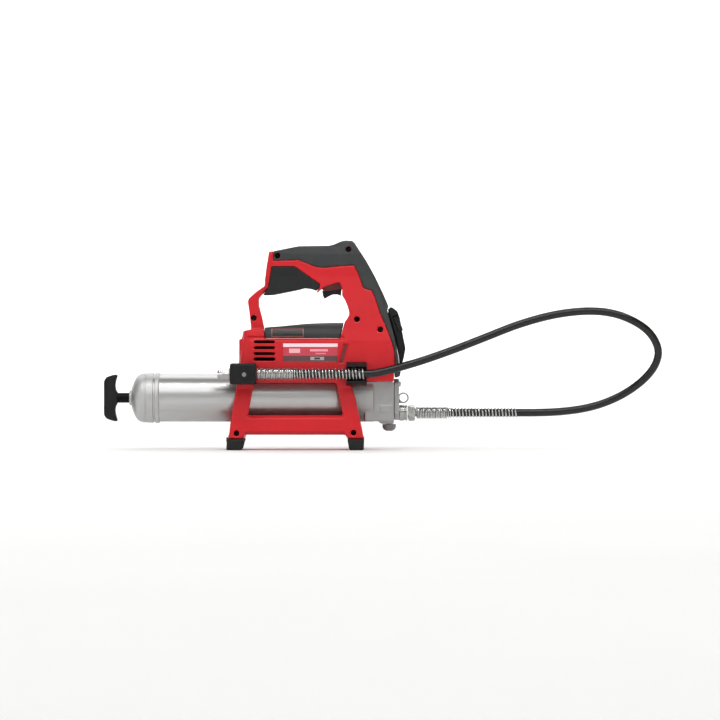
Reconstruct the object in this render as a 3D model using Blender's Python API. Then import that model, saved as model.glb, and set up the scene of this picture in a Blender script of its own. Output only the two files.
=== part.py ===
"""Cordless grease gun: a battery-driven piston pump on a refillable barrel, with its hose stowed on the side.

Sizes are in millimetres and degrees. X runs along the barrel towards the outlet, Y across the tool (the hose
is stowed on the -Y side) and Z up from the floor. Heights of the upper part count from BODY_Z, the level
just over the barrel, so that the body, the drive and the handle follow a change of barrel.
"""

import math

import bmesh
import bpy
from mathutils import Matrix, Vector

# Clearances
FIT = 0.3  # between pieces that touch
RUN = 0.4  # between pieces that slide or turn

# Barrel, which takes a standard grease cartridge
BARREL_DIAMETER = 56.5
BARREL_WALL = 2.25
BARREL_LENGTH = 242.5
BARREL_GAP = 0.55  # barrel to stand
CAP_LENGTH = 33.5
CAP_DEPTH = 17.0  # how far the cap's dome stands past the end of the tube
CAP_WALL = 1.2
CAP_BEAD_WIDTH = 6.0
ROD_DIAMETER = 12.0
ROD_SHOWN = 16.0  # rod between the cap and the pull handle
PULL_LENGTH = 56.0
PULL_DEPTH = 16.5
PULL_HALF_WIDTH = 8.0
FOLLOWER_THICKNESS = 3.0
CUP_THICKNESS = 12.0

# Stand and feet
FOOT_HEIGHT = 13.0
STAND_UNDERSIDE = 18.0
BAR_TOP_Z = 32.2
WINDOW_SILL_Z = 41.0
PLATE_WALL = 6.2
FOOT_OUTER_Y = 44.0
FOOT_INNER_Y = 26.0

# Body and handle, as half widths across the tool
BODY_HALF = 32.0
HANDLE_HALF = 17.5
STRUT_HALF = 13.5
GRIP_SKIN = 3.0
SHELL_WALL = 3.0
COVER_HALF = 24.0
COVER_WALL = 2.5
COVER_BASE = 41.3  # motor cover's lower edge above the body level
LABEL_X = (32.0, 96.0)
LABEL_HEIGHTS = (13.0, 35.0)
LABEL_SINK = 0.8
LABEL_MARGIN = 0.5
SLASH_DEPTH = 2.0

# Drive
DRIVE_HEIGHT = 22.0  # axis above the body level
MOTOR_DIAMETER = 36.0
MOTOR_X = (-10.0, 52.0)
GEAR_MODULE = 0.7
SUN_TEETH = 12
PLANET_TEETH = 15
RING_TEETH = SUN_TEETH + 2 * PLANET_TEETH
GEAR_X = (61.0, 69.0)
RING_X = (56.0, 74.0)
RING_RIM = 2.2
CASE_WALL = 1.8
SHAFT_DIAMETER = 10.0
BEARING_X = (88.0, 96.0)
BEARING_DIAMETER = 22.0
CRANK_X = 122.0
CRANK_THICKNESS = 6.0
CRANK_RADIUS = 10.0
STROKE = 12.0
CRANK_PIN_DIAMETER = 5.0
CRANK_PIN_LENGTH = 6.0
YOKE_THICKNESS = 5.0
YOKE_RIM = 3.0
PISTON_DIAMETER = 9.0

# Pump head
HEAD_FACE_X = 112.4
HEAD_SOCKET_X = 138.0
HEAD_X = (128.0, 162.0)
HEAD_HALF = 23.0
HEAD_DROP = 10.0  # head's top face below the body level
HEAD_BOTTOM_Z = 33.5
SPIGOT_LENGTH = 14.0
COVER_PLATE_THICKNESS = 6.2
COVER_PLATE_HALF = 19.0
OUTLET_Z = 43.5
OUTLET_BORE = 9.0
OUTLET_BOSS_DIAMETER = 19.2
OUTLET_BOSS_LENGTH = 9.6
VALVE_X = 156.5
VALVE_Z = (22.0, 29.7)
VALVE_RADIUS = 8.0
EYE_RADIUS = 5.5
EYE_WIRE = 1.1
EYE_X = 173.4

# Battery: it slides out along BATTERY_AXIS, square to the tool's sloping front
BATTERY_TILT = 20.9  # degrees above level
BATTERY_FACE = (158.0, 60.0)  # where the stick meets the front, as x and height above the body level
STICK_LENGTH = 40.0
STICK_HALF_HEIGHT = 11.0
STICK_HALF_WIDTH = 18.0
BATTERY_HALF = 24.0
LATCH_TRAVEL = 2.0

# Trigger
TRIGGER_PIVOT = (101.5, 104.0)  # x and height above the body level
TRIGGER_HALF = 6.5
TRIGGER_PIN_DIAMETER = 4.0

# Hose and what is on it
HOSE_DIAMETER = 9.5
GUARD_DIAMETER = 15.0
GUARD_WALL_GAP = 0.6
HOLDER_X = (-30.0, 1.0)
HOLDER_SIDE = 25.0
CLIP_X = (106.0, 130.0)
NEAR_GUARD_X = (1.3, 129.0)
OUTLET_GUARD_X = (187.3, 308.0)
OUTLET_GUARD_TIP = 12.8
GUARD_SHOULDER = 36.0  # wide part of the outlet's guard
GUARD_TAPER = 5.0
COUPLER_X = -44.5
COUPLER_DIAMETER = 14.0
NUT_X = 178.8
NUT_FLATS = 17.0
TUBE_POINT_STEP = 21.0
GUARDED_STEP = 60.0  # between the route's points inside a guard

# Worked out
BARREL_RADIUS = BARREL_DIAMETER / 2
BORE_RADIUS = BARREL_RADIUS - BARREL_WALL
AXIS_Z = BAR_TOP_Z + BARREL_GAP + BARREL_RADIUS
TUNNEL_RADIUS = BARREL_RADIUS + BARREL_GAP
BODY_Z = AXIS_Z + BARREL_RADIUS + 0.75
DRIVE_Z = BODY_Z + DRIVE_HEIGHT
TUBE_LEFT_X = HEAD_FACE_X - FIT - BARREL_LENGTH
CAP_LEFT_X = TUBE_LEFT_X - CAP_DEPTH
PULL_LEFT_X = CAP_LEFT_X - ROD_SHOWN - PULL_DEPTH
STAND_HALF = TUNNEL_RADIUS + PLATE_WALL
HEAD_TOP_Z = BODY_Z - HEAD_DROP
HEAD_SOCKET_RADIUS = BARREL_RADIUS - 0.05
PISTON_X = CRANK_X + CRANK_THICKNESS + CRANK_PIN_LENGTH + RUN + YOKE_THICKNESS / 2
HOSE_SIDE_Y = -(BODY_HALF + GUARD_DIAMETER)
HOSE_SIDE_Z = BODY_Z - 0.6
HOLDER_OUTER_Y = HOSE_SIDE_Y - 11.0
EYE_RIGHT_X = EYE_X + EYE_RADIUS + EYE_WIRE
MID_X = (PULL_LEFT_X + EYE_RIGHT_X) / 2
MID_Y = (HOLDER_OUTER_Y + FOOT_OUTER_Y) / 2
BATTERY_AXIS = Vector(
    (math.cos(math.radians(BATTERY_TILT)), 0.0, math.sin(math.radians(BATTERY_TILT)))
)
BATTERY_UP = Vector((-BATTERY_AXIS.z, 0.0, BATTERY_AXIS.x))
FAR_OUT = 60.0  # past every side of the tool, for cutters
MM = 0.001

# Finishes: colour, roughness, metallic
RED = ((0.62, 0.018, 0.026), 0.38, 0.0)
DARK_GREY = ((0.07, 0.07, 0.075), 0.6, 0.0)
BLACK = ((0.012, 0.012, 0.013), 0.45, 0.0)
RUBBER_BLACK = ((0.02, 0.021, 0.021), 0.8, 0.0)
SILVER = ((0.62, 0.62, 0.61), 0.32, 0.9)
CAST_GREY = ((0.36, 0.36, 0.36), 0.5, 0.8)
STEEL = ((0.5, 0.5, 0.5), 0.3, 1.0)
BRASS = ((0.6, 0.42, 0.16), 0.35, 1.0)
BOARD_GREEN = ((0.02, 0.16, 0.06), 0.5, 0.0)
LABEL_RED = ((0.55, 0.05, 0.07), 0.3, 0.0)


def body(points):
    """Points given as x and height above the body level, in the tool's own x and z."""
    return [(x, BODY_Z + height) for x, height in points]


# Outlines seen from the side. The red shell's outer edge, anticlockwise from the top of the rear strut
STRUT_OUTSIDE = body(
    [(15, 143), (12, 125), (10, 110), (10, 103), (0, 96), (-9, 88), (-10, 84), (-8, 70), (-6, 51.5)]
    + [(-15, 50)]
)
REAR_EDGE = body([(-17, 40), (-19, 28), (-20, 15), (-21, 10), (-22, -12)])
STAND_EDGE = [
    (-24, AXIS_Z + 4),
    (-27, 50),
    (-30, 30),
    (-31, 20),
    (-33, FOOT_HEIGHT + FIT),
    (-13.5, FOOT_HEIGHT + FIT),
    (-13, STAND_UNDERSIDE),
    (105, STAND_UNDERSIDE),
    (107.5, FOOT_HEIGHT + FIT),
    (126.5, FOOT_HEIGHT + FIT),
    (125, 22),
    (123, 32),
    (120, 45),
    (117, AXIS_Z - 1),
    (112, AXIS_Z + 14),
    (114, HEAD_TOP_Z + FIT),
    (HEAD_X[1], HEAD_TOP_Z + FIT),
]
FRONT_EDGE = body(
    [
        (162, 3),
        (163, 14),
        (162, 27.5),
        (158, 41),
        (152, 56),
        (146, 70),
        (140, 88),
        (136, 97),
        (126, 100),
        (120, 117),
        (117, 123),
        (115, 127),
    ]
)
BAND_EDGE = body([(100, 126), (80, 124), (70, 125), (55, 131), (50, 133), (20, 132)])
RED_OUTLINE = STRUT_OUTSIDE + REAR_EDGE + STAND_EDGE + FRONT_EDGE + BAND_EDGE + body([(20, 144)])

# The opening for the hand, with the room for the rubber grip, the trigger and the motor cover
HAND_OPENING = body(
    [(18, 126), (14, 100), (7, 93), (3, 88), (3, 80), (7, 65), (9, 55), (10, 41), (99, 41), (104, 60)]
    + [(108, 66), (109.5, 70), (109, 73), (107, 80), (104, 87), (101, 91.5), (101, 100), (98, 107)]
    + [(90, 105), (78, 100.5), (74, 97), (72, 94.5), (71, 96), (74.5, 100), (75, 105), (72, 107)]
    + [(62, 114), (52, 121), (45, 126)]
)
WINDOW = [(-9, WINDOW_SILL_Z), (102, WINDOW_SILL_Z), (94, BODY_Z - 11), (-2, BODY_Z - 11)]
UNDER_GRIP = body(
    [(18, 126), (14, 100), (7, 91.5), (20, 92), (30, 94), (40, 96), (50, 98), (57, 100), (65, 99)]
    + [(70.5, 97), (74.5, 100), (75, 105), (72, 107), (62, 114), (52, 121), (45, 126)]
)
TOP_GRIP = body(
    [(20, 144), (20, 132), (50, 133), (55, 131), (70, 125), (80, 124), (100, 126), (115, 127), (117, 123)]
    + [(120, 117), (126, 100), (136, 97), (140, 88), (146, 70), (152, 56), (158, 41), (162, 27.5), (163, 14)]
    + [(162, 3), (163, -6), (169, -4), (170.4, 2), (168.5, 9), (167, 22), (163.5, 40), (154.5, 74)]
    + [(156, 79), (150, 93), (140, 114), (130, 132), (120, 147.5), (116, 154), (113, 156.5), (105, 157)]
    + [(100, 156), (90, 151.5), (85, 150.5), (50, 150)]
)
CORE = body(
    [(16, 97), (30, 98), (40, 100), (50, 102), (57, 103.8), (65, 103), (71, 102), (76, 107), (90, 109)]
    + [(98, 111), (107, 108), (112, 80), (125, 62), (145, 62), (149, 76), (145, 90), (136, 109), (126, 127)]
    + [(116, 144), (111, 152), (101, 151.5), (86, 146.5), (50, 147), (21.5, 142.5), (17, 125)]
)
MOTOR_COVER = body(
    [(10.3, COVER_BASE), (10.3, 54), (30, 55.5), (60, 58.5), (85, 59.5), (103, 59.7), (99, COVER_BASE)]
)
BATTERY_BASE = body(
    [(157, 78), (160, 77.5), (166, 73), (169, 65), (172.7, 44), (175.7, 29), (173.4, 17), (171, 9)]
    + [(168.9, 9.3), (167.4, 22.2), (163.9, 40.2), (155.2, 73)]
)
TRIGGER = body(
    [(77.5, 97), (78.2, 92), (80, 87.6), (85, 90.5), (90, 92.8), (96, 92.8), (99.5, 91), (100.4, 99)]
    + [(105.5, 101.5), (106.4, 104), (104.5, 107.5), (100, 108.4), (95, 103.6), (86, 100.5)]
)

# The tool seen from the front: half widths at each height, for the outside of the shell
FRONT_PROFILE = [
    (40.0, FOOT_HEIGHT),
    (39.5, 20.0),
    (STAND_HALF, AXIS_Z - 6),
    (BODY_HALF, BODY_Z - 18),
    (BODY_HALF, BODY_Z + 38),
    (BODY_HALF - 2.5, BODY_Z + 50),
    (BODY_HALF - 7, BODY_Z + 75),
    (HANDLE_HALF + 3, BODY_Z + 98),
    (HANDLE_HALF, BODY_Z + 115),
    (HANDLE_HALF, BODY_Z + 140),
    (HANDLE_HALF - 2.5, BODY_Z + 148),
    (HANDLE_HALF - 7.5, BODY_Z + 153.5),
    (3.0, BODY_Z + 158),
]

# Screws that close the shell: x, z, depth of the head's seat and of the tip
SCREWS = [
    (25.0, BODY_Z + 138.4, -8.0, 9.0),
    (108.5, BODY_Z + 146.0, -8.0, 9.0),
    (-3.0, BODY_Z + 65.0, -8.0, 8.0),
    (118.5, BODY_Z + 63.5, -12.0, 12.0),
    (146.0, BODY_Z + 51.5, -(BODY_HALF - 7.5), -(STICK_HALF_WIDTH + 1.5)),
    (-22.5, 19.8, -24.0, 14.0),
    (114.5, 20.5, -24.0, 14.0),
]
SCREW_HEAD_RADIUS = 3.1
SCREW_HEAD_HEIGHT = 2.4
SCREW_RADIUS = 1.6
BOSS_RADIUS = 3.5
BOSS_SHORT = 4.3  # how far a handle boss ends inside the core's skin

VENT_HEIGHTS = (37.0, 30.0, 23.0, 16.5)
VENT_X = (-2.0, 22.0)
VENT_HEIGHT = 2.7

# The hose between its two guards, in the loose loop it takes when both ends are held
HOSE_ROUTE = [
    (330.0, -0.5, 43.6),
    (355.0, -2.5, 44.6),
    (380.0, -5.5, 47.5),
    (402.0, -9.0, 52.6),
    (422.0, -13.0, 60.4),
    (440.0, -16.5, 70.6),
    (456.0, -20.0, 83.4),
    (467.5, -23.0, 97.8),
    (472.2, -25.5, 113.5),
    (468.0, -28.0, 128.6),
    (457.0, -30.0, 142.0),
    (440.0, -32.0, 152.6),
    (420.0, -34.0, 159.8),
    (397.0, -36.0, 162.8),
    (370.0, -38.5, 161.6),
    (340.0, -41.0, 156.4),
    (305.0, -43.0, 146.2),
    (270.0, -44.8, 132.6),
    (235.0, -46.0, 119.0),
    (200.0, -46.8, 106.6),
    (172.0, -47.0, 98.0),
    (150.0, -47.0, 92.4),
]


def clear_scene():
    for obj in list(bpy.data.objects):
        bpy.data.objects.remove(obj, do_unlink=True)


def make_frame():
    """The empty that everything hangs on: it puts the origin under the middle of the tool."""
    frame = bpy.data.objects.new("grease_gun", None)
    frame.location = (-MID_X * MM, -MID_Y * MM, 0)
    bpy.context.collection.objects.link(frame)
    return frame


def add_object(name, mesh_bm, origin=(0, 0, 0)):
    """The bmesh, given in millimetres, as an object whose origin is at the point given."""
    bmesh.ops.translate(mesh_bm, vec=-Vector(origin), verts=mesh_bm.verts)
    bmesh.ops.scale(mesh_bm, vec=(MM, MM, MM), verts=mesh_bm.verts)
    bmesh.ops.recalc_face_normals(mesh_bm, faces=mesh_bm.faces)
    mesh = bpy.data.meshes.new(name)
    mesh_bm.to_mesh(mesh)
    mesh_bm.free()
    obj = bpy.data.objects.new(name, mesh)
    obj.location = Vector(origin) * MM
    obj.parent = FRAME
    bpy.context.collection.objects.link(obj)
    return obj


def finish(obj, look):
    """A piece's own material, with round faces smooth and corners sharp."""
    colour, roughness, metallic = look
    material = bpy.data.materials.new(obj.name)
    material.use_nodes = True
    shader = material.node_tree.nodes["Principled BSDF"]
    shader.inputs["Base Color"].default_value = (*colour, 1.0)
    shader.inputs["Roughness"].default_value = roughness
    shader.inputs["Metallic"].default_value = metallic
    obj.data.materials.append(material)
    if obj.type == "MESH":
        obj.data.shade_smooth()
        obj.data.set_sharp_from_angle(angle=math.radians(35))
    return obj


def helper(obj):
    """Marks a cutter, or a shape that another piece is joined from."""
    obj.hide_render = True
    obj.display_type = "WIRE"
    return obj


def join_by(target, other, operation):
    modifier = target.modifiers.new(f"{operation.lower()} {other.name}", "BOOLEAN")
    modifier.operation = operation
    modifier.solver = "EXACT"
    modifier.object = other


def cut(target, *others):
    for other in others:
        join_by(target, other, "DIFFERENCE")


def add(target, *others):
    for other in others:
        join_by(target, other, "UNION")


def keep_within(target, other):
    join_by(target, other, "INTERSECT")


def extruded(name, outline, axis, low, high, origin=(0, 0, 0)):
    """An outline pushed along X, Y or Z. Its points are the two other coordinates, in order."""
    place = {
        "X": lambda u, v: (low, u, v),
        "Y": lambda u, v: (u, low, v),
        "Z": lambda u, v: (u, v, low),
    }[axis]
    push = Vector([high - low if letter == axis else 0.0 for letter in "XYZ"])
    shape = bmesh.new()
    face = shape.faces.new([shape.verts.new(place(u, v)) for u, v in outline])
    pushed = bmesh.ops.extrude_face_region(shape, geom=[face])
    moved = [item for item in pushed["geom"] if isinstance(item, bmesh.types.BMVert)]
    bmesh.ops.translate(shape, vec=push, verts=moved)
    return add_object(name, shape, origin)


def box(name, x, y, z, origin=(0, 0, 0)):
    corners = [(x[0], z[0]), (x[1], z[0]), (x[1], z[1]), (x[0], z[1])]
    return extruded(name, corners, "Y", y[0], y[1], origin)


def turned(name, profile, axis, centre, sides=40, ring=False, origin=None):
    """A profile of (along, radius) points spun round an axis. A ring's profile is a closed loop."""
    shape = bmesh.new()
    verts = [shape.verts.new((along, radius, 0.0)) for along, radius in profile]
    pairs = list(zip(verts, verts[1:]))
    if ring:
        pairs.append((verts[-1], verts[0]))
    edges = [shape.edges.new(pair) for pair in pairs]
    bmesh.ops.spin(
        shape,
        geom=verts + edges,
        cent=(0, 0, 0),
        axis=(1, 0, 0),
        angle=math.tau,
        steps=sides,
        use_merge=True,
    )
    bmesh.ops.remove_doubles(shape, verts=shape.verts, dist=1e-4)
    turn = {
        "X": Matrix(),
        "Y": Matrix.Rotation(math.radians(90), 4, "Z"),
        "Z": Matrix.Rotation(math.radians(-90), 4, "Y"),
    }[axis]
    bmesh.ops.transform(shape, matrix=turn, verts=shape.verts)
    offset = Vector([0.0 if letter == axis else value for letter, value in zip("XYZ", centre)])
    bmesh.ops.translate(shape, vec=offset, verts=shape.verts)
    return add_object(name, shape, origin or (0, 0, 0))


def rod(name, axis, centre, radius, low, high, sides=24, origin=None):
    profile = [(low, 0), (low, radius), (high, radius), (high, 0)]
    return turned(name, profile, axis, centre, sides, False, origin)


def tube(name, axis, centre, inner, outer, low, high, sides=32):
    profile = [(low, inner), (low, outer), (high, outer), (high, inner)]
    return turned(name, profile, axis, centre, sides, True)


def grown(outline, distance):
    """The outline moved outwards by the distance, with mitred corners."""
    count = len(outline)
    area = sum(
        outline[i][0] * outline[(i + 1) % count][1] - outline[(i + 1) % count][0] * outline[i][1]
        for i in range(count)
    )
    side = 1.0 if area > 0 else -1.0
    moved = []
    for i, (u, v) in enumerate(outline):
        before = Vector((u - outline[i - 1][0], v - outline[i - 1][1])).normalized()
        after = Vector((outline[(i + 1) % count][0] - u, outline[(i + 1) % count][1] - v)).normalized()
        first = Vector((before.y, -before.x)) * side
        second = Vector((after.y, -after.x)) * side
        mitre = (first + second) / max(1 + first.dot(second), 0.3)
        moved.append((u + mitre.x * distance, v + mitre.y * distance))
    return moved


def profile_solid(name, shrink, side=0):
    """The tool's front profile pushed along X, both sides or only the side given as -1 or 1."""
    right = [(half - shrink, z) for half, z in FRONT_PROFILE]
    top = (right[-1][0], right[-1][1])
    right[-1] = (top[0] + shrink, top[1] - shrink)
    if side:
        near_zero = FIT / 2
        points = right + [(near_zero, right[-1][1]), (near_zero, right[0][1])]
        points = [(side * y, z) for y, z in points]
    else:
        points = right + [(-y, z) for y, z in reversed(right)]
    return helper(extruded(name, points, "X", -FAR_OUT, 200.0))


def battery_point(along, up):
    """A point seen from the side, counted from where the stick meets the sloping front."""
    point = Vector((BATTERY_FACE[0], 0, BODY_Z + BATTERY_FACE[1])) + BATTERY_AXIS * along + BATTERY_UP * up
    return point.x, point.z


def battery_box(name, along, up, y):
    corners = [
        battery_point(along[0], up[0]),
        battery_point(along[1], up[0]),
        battery_point(along[1], up[1]),
        battery_point(along[0], up[1]),
    ]
    return extruded(name, corners, "Y", y[0], y[1])


def involute_angle(radius, base):
    if radius <= base:
        return 0.0
    slope = math.acos(base / radius)
    return math.tan(slope) - slope


def gear_outline(teeth, tip_add, root_drop, thinner):
    """Teeth round the origin, the first along +Y. Thinner takes that share off each at the pitch line."""
    pitch = GEAR_MODULE * teeth / 2
    base = pitch * math.cos(math.radians(20))
    radii = [pitch - root_drop, pitch, pitch + tip_add]
    half_pitch_angle = math.pi / (2 * teeth) * (1 - thinner)
    half_angles = [half_pitch_angle + involute_angle(pitch, base) - involute_angle(r, base) for r in radii]
    points = []
    for tooth in range(teeth):
        middle = math.tau * tooth / teeth
        for r, half in zip(radii, half_angles):
            points.append((r * math.cos(middle - half), r * math.sin(middle - half)))
        for r, half in zip(reversed(radii), reversed(half_angles)):
            points.append((r * math.cos(middle + half), r * math.sin(middle + half)))
    return points


def moved_outline(points, y, z, turn=0.0):
    c = math.cos(turn)
    s = math.sin(turn)
    return [(y + u * c - v * s, z + u * s + v * c) for u, v in points]


def smooth_points(points, step):
    """Points a step apart along a smooth curve through the points given."""
    knots = [Vector(point) for point in points]
    padded = [2 * knots[0] - knots[1]] + knots + [2 * knots[-1] - knots[-2]]
    fine = []
    for i in range(1, len(padded) - 2):
        a, b, c, d = padded[i - 1 : i + 3]
        for k in range(24):
            t = k / 24
            fine.append(
                b
                + (c - a) * (t / 2)
                + (2 * a - 5 * b + 4 * c - d) * (t * t / 2)
                + (3 * b - a - 3 * c + d) * (t * t * t / 2)
            )
    fine.append(knots[-1])
    lengths = [(q - p).length for p, q in zip(fine, fine[1:])]
    pieces = max(2, round(sum(lengths) / step))
    spacing = sum(lengths) / pieces
    spaced = [fine[0]]
    run = 0.0
    for start, end, length in zip(fine, fine[1:], lengths):
        while run + length >= spacing * len(spaced) and len(spaced) < pieces:
            spaced.append(start.lerp(end, (spacing * len(spaced) - run) / length))
        run += length
    return spaced + [fine[-1]]


def screw_holes(prefix):
    """Cutters for the screws: a wide hole down to the head's seat and a narrow one for the shank."""
    holes = []
    for i, (x, z, seat, tip) in enumerate(SCREWS, 1):
        centre = (x, 0, z)
        wide = SCREW_HEAD_RADIUS + FIT
        holes.append(helper(rod(f"{prefix}_seat_{i}", "Y", centre, wide, -FAR_OUT, seat, 16)))
        holes.append(
            helper(rod(f"{prefix}_shank_{i}", "Y", centre, SCREW_RADIUS + FIT, seat - 1, tip + FIT, 12))
        )
    return holes


def battery_well(prefix):
    depth = STICK_LENGTH + 7.0
    return helper(
        battery_box(
            f"{prefix}_well",
            (-depth, 40.0),
            (-STICK_HALF_HEIGHT - RUN, STICK_HALF_HEIGHT + RUN),
            (-STICK_HALF_WIDTH - RUN, STICK_HALF_WIDTH + RUN),
        )
    )


def tunnel(prefix):
    """The room for the barrel and the pump head's socket, straight-sided below the axis."""
    low = BAR_TOP_Z
    right = HEAD_SOCKET_X + FIT
    walls = [(TUNNEL_RADIUS, low), (TUNNEL_RADIUS, AXIS_Z)]
    arch = [
        (
            TUNNEL_RADIUS * math.cos(math.radians(angle)),
            AXIS_Z + TUNNEL_RADIUS * math.sin(math.radians(angle)),
        )
        for angle in range(6, 180, 6)
    ]
    return helper(
        extruded(
            f"{prefix}_tunnel",
            walls + arch + [(-TUNNEL_RADIUS, AXIS_Z), (-TUNNEL_RADIUS, low)],
            "X",
            -FAR_OUT,
            right,
        )
    )


def shell_cavities(prefix):
    """The hollows inside the shell, which both halves share."""
    motor_radius = MOTOR_DIAMETER / 2 + RUN
    gear_radius = case_outer_radius() + RUN
    axis = (0, 0, DRIVE_Z)
    inside = BODY_HALF - SHELL_WALL
    return [
        helper(box(f"{prefix}_room", (-16.0, 102.0), (-inside, inside), (BODY_Z + 2, BODY_Z + 38.2))),
        helper(
            box(
                f"{prefix}_duct",
                (13.0, 96.0),
                (-COVER_HALF + COVER_WALL + 1, COVER_HALF - COVER_WALL - 1),
                (BODY_Z + 37, BODY_Z + 43),
            )
        ),
        helper(rod(f"{prefix}_motor_bore", "X", axis, motor_radius, MOTOR_X[0] - 3, MOTOR_X[1] + 6, 40)),
        helper(rod(f"{prefix}_gear_bore", "X", axis, gear_radius, MOTOR_X[1] + 1, BEARING_X[1] + 4, 40)),
        helper(box(f"{prefix}_crank_room", (100.0, 157.0), (-18.0, 18.0), (BODY_Z + 2, BODY_Z + 36))),
        helper(
            rod(
                f"{prefix}_piston_way",
                "Z",
                (PISTON_X, 0, 0),
                PISTON_DIAMETER / 2 + 1.2,
                HEAD_TOP_Z - 5,
                BODY_Z + 4,
            )
        ),
        helper(
            extruded(
                f"{prefix}_handle_room",
                body([(24, 112), (66, 112), (76, 115), (104, 115), (116, 100), (124, 84), (136, 84)])
                + body([(130, 104), (120, 122), (108, 139), (84, 141), (40, 140), (26, 132)]),
                "Y",
                -HANDLE_HALF + GRIP_SKIN + SHELL_WALL,
                HANDLE_HALF - GRIP_SKIN - SHELL_WALL,
            )
        ),
        helper(
            extruded(
                f"{prefix}_trigger_slot",
                grown(TRIGGER, 1.2),
                "Y",
                -TRIGGER_HALF - RUN,
                TRIGGER_HALF + RUN,
            )
        ),
        helper(
            extruded(
                f"{prefix}_trigger_way",
                body([(74.5, 98), (104, 92), (108, 106), (104, 118), (76, 118)]),
                "Y",
                -TRIGGER_HALF - RUN,
                TRIGGER_HALF + RUN,
            )
        ),
        helper(box(f"{prefix}_bar_room", (-4.0, 98.0), (-34.0, 34.0), (20.8, 29.4))),
    ]


def case_outer_radius():
    return GEAR_MODULE * RING_TEETH / 2 + RING_RIM + FIT + CASE_WALL


def strut_trim(prefix, side):
    """Takes the rear strut and the top of the rear corner in to the strut's own width."""
    outer = FAR_OUT * side
    inner = STRUT_HALF * side
    return helper(
        box(
            f"{prefix}_strut_trim",
            (-FAR_OUT, 14.0),
            (min(inner, outer), max(inner, outer)),
            (BODY_Z + 51.7, BODY_Z + 116),
        )
    )


def make_shell(side, name):
    """One red half of the clamshell: the side is -1 for the near half and 1 for the far one."""
    low, high = sorted((side * FIT / 2, side * FAR_OUT))
    half = extruded(name, RED_OUTLINE, "Y", low, high)
    keep_within(half, profile_solid(f"{name}_outside", 0.0, side))
    cut(half, strut_trim(name, side))
    core = helper(extruded(f"{name}_core", CORE, "Y", low, high))
    keep_within(core, profile_solid(f"{name}_core_outside", GRIP_SKIN, side))
    opening = helper(extruded(f"{name}_hand_opening", HAND_OPENING, "Y", -FAR_OUT, FAR_OUT))
    window = helper(extruded(f"{name}_window", WINDOW, "Y", -FAR_OUT, FAR_OUT))
    cut(half, opening, window)
    add(half, core)
    cut(half, tunnel(name), *shell_cavities(name))
    for i, (x, z, *_) in enumerate(SCREWS[:2], 1):
        reach = sorted((side * FIT, side * (HANDLE_HALF - GRIP_SKIN - BOSS_SHORT)))
        add(half, helper(rod(f"{name}_boss_{i}", "Y", (x, 0, z), BOSS_RADIUS, *reach, 16)))
    for i, height in enumerate(VENT_HEIGHTS, 1):
        z = (BODY_Z + height - VENT_HEIGHT / 2, BODY_Z + height + VENT_HEIGHT / 2)
        wall = sorted((side * (BODY_HALF - SHELL_WALL - 2), side * FAR_OUT))
        cut(half, helper(box(f"{name}_vent_{i}", VENT_X, wall, z)))
    slash = body([(97, 11), (103, 11), (109, 35), (103, 35)])
    depth = sorted((side * (BODY_HALF - SLASH_DEPTH), side * FAR_OUT))
    cut(half, helper(extruded(f"{name}_slash", slash, "Y", *depth)))
    if side < 0:
        x = (LABEL_X[0] - LABEL_MARGIN, LABEL_X[1] + LABEL_MARGIN)
        z = (BODY_Z + LABEL_HEIGHTS[0] - LABEL_MARGIN, BODY_Z + LABEL_HEIGHTS[1] + LABEL_MARGIN)
        cut(half, helper(box(f"{name}_label_recess", x, (-FAR_OUT, -BODY_HALF + LABEL_SINK), z)))
    cut(half, battery_well(name), *screw_holes(name))
    return finish(half, RED)


def make_label():
    y = (-BODY_HALF - 0.2, -BODY_HALF + LABEL_SINK - FIT)
    z = (BODY_Z + LABEL_HEIGHTS[0], BODY_Z + LABEL_HEIGHTS[1])
    finish(box("label_plate", LABEL_X, y, z), LABEL_RED)


def make_grips():
    """The soft skins over the top of the handle and the front, and under the handle."""
    skins = (("top_grip", TOP_GRIP, DARK_GREY), ("under_grip", UNDER_GRIP, RUBBER_BLACK))
    for name, outline, look in skins:
        skin = extruded(name, grown(outline, -FIT), "Y", -FAR_OUT, FAR_OUT)
        keep_within(skin, profile_solid(f"{name}_outside", 0.0))
        core = helper(extruded(f"{name}_core", grown(CORE, FIT), "Y", -FAR_OUT, FAR_OUT))
        keep_within(core, profile_solid(f"{name}_core_outside", GRIP_SKIN - FIT))
        cut(skin, core)
        if name == "top_grip":
            red = helper(extruded(f"{name}_red", grown(RED_OUTLINE, FIT), "Y", -FAR_OUT, FAR_OUT))
            cut(skin, red, battery_well(name), *screw_holes(name))
        finish(skin, look)


def cover_arch(name, half, rise, reach):
    """The cover's rounded section pushed along X: its half width, its rise over the base and its two ends."""
    base = BODY_Z + COVER_BASE
    arch = [
        (half * math.cos(math.radians(a)), base + rise * math.sin(math.radians(a)) ** 0.8)
        for a in range(0, 181, 12)
    ]
    return helper(extruded(name, [(half, base - 5)] + arch + [(-half, base - 5)], "X", *reach))


def make_motor_cover():
    """The rounded cover over the motor, hollow and open below."""
    cover = extruded("motor_cover", MOTOR_COVER, "Y", -FAR_OUT, FAR_OUT)
    keep_within(cover, cover_arch("motor_cover_outside", COVER_HALF, 18.6, (-FAR_OUT, 200.0)))
    room = cover_arch("motor_cover_room", COVER_HALF - COVER_WALL, 18.6 - COVER_WALL, (13.0, 97.0))
    top = body([(13, 35), (13, 51), (30, 52.5), (60, 55.5), (85, 56.5), (96, 56.7), (96, 35)])
    keep_within(room, helper(extruded("motor_cover_room_top", top, "Y", -FAR_OUT, FAR_OUT)))
    cut(cover, room)
    finish(cover, DARK_GREY)
    finish(box("control_board", (32.0, 92.0), (-13.0, 13.0), (BODY_Z + 44.5, BODY_Z + 46.2)), BOARD_GREEN)


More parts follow.
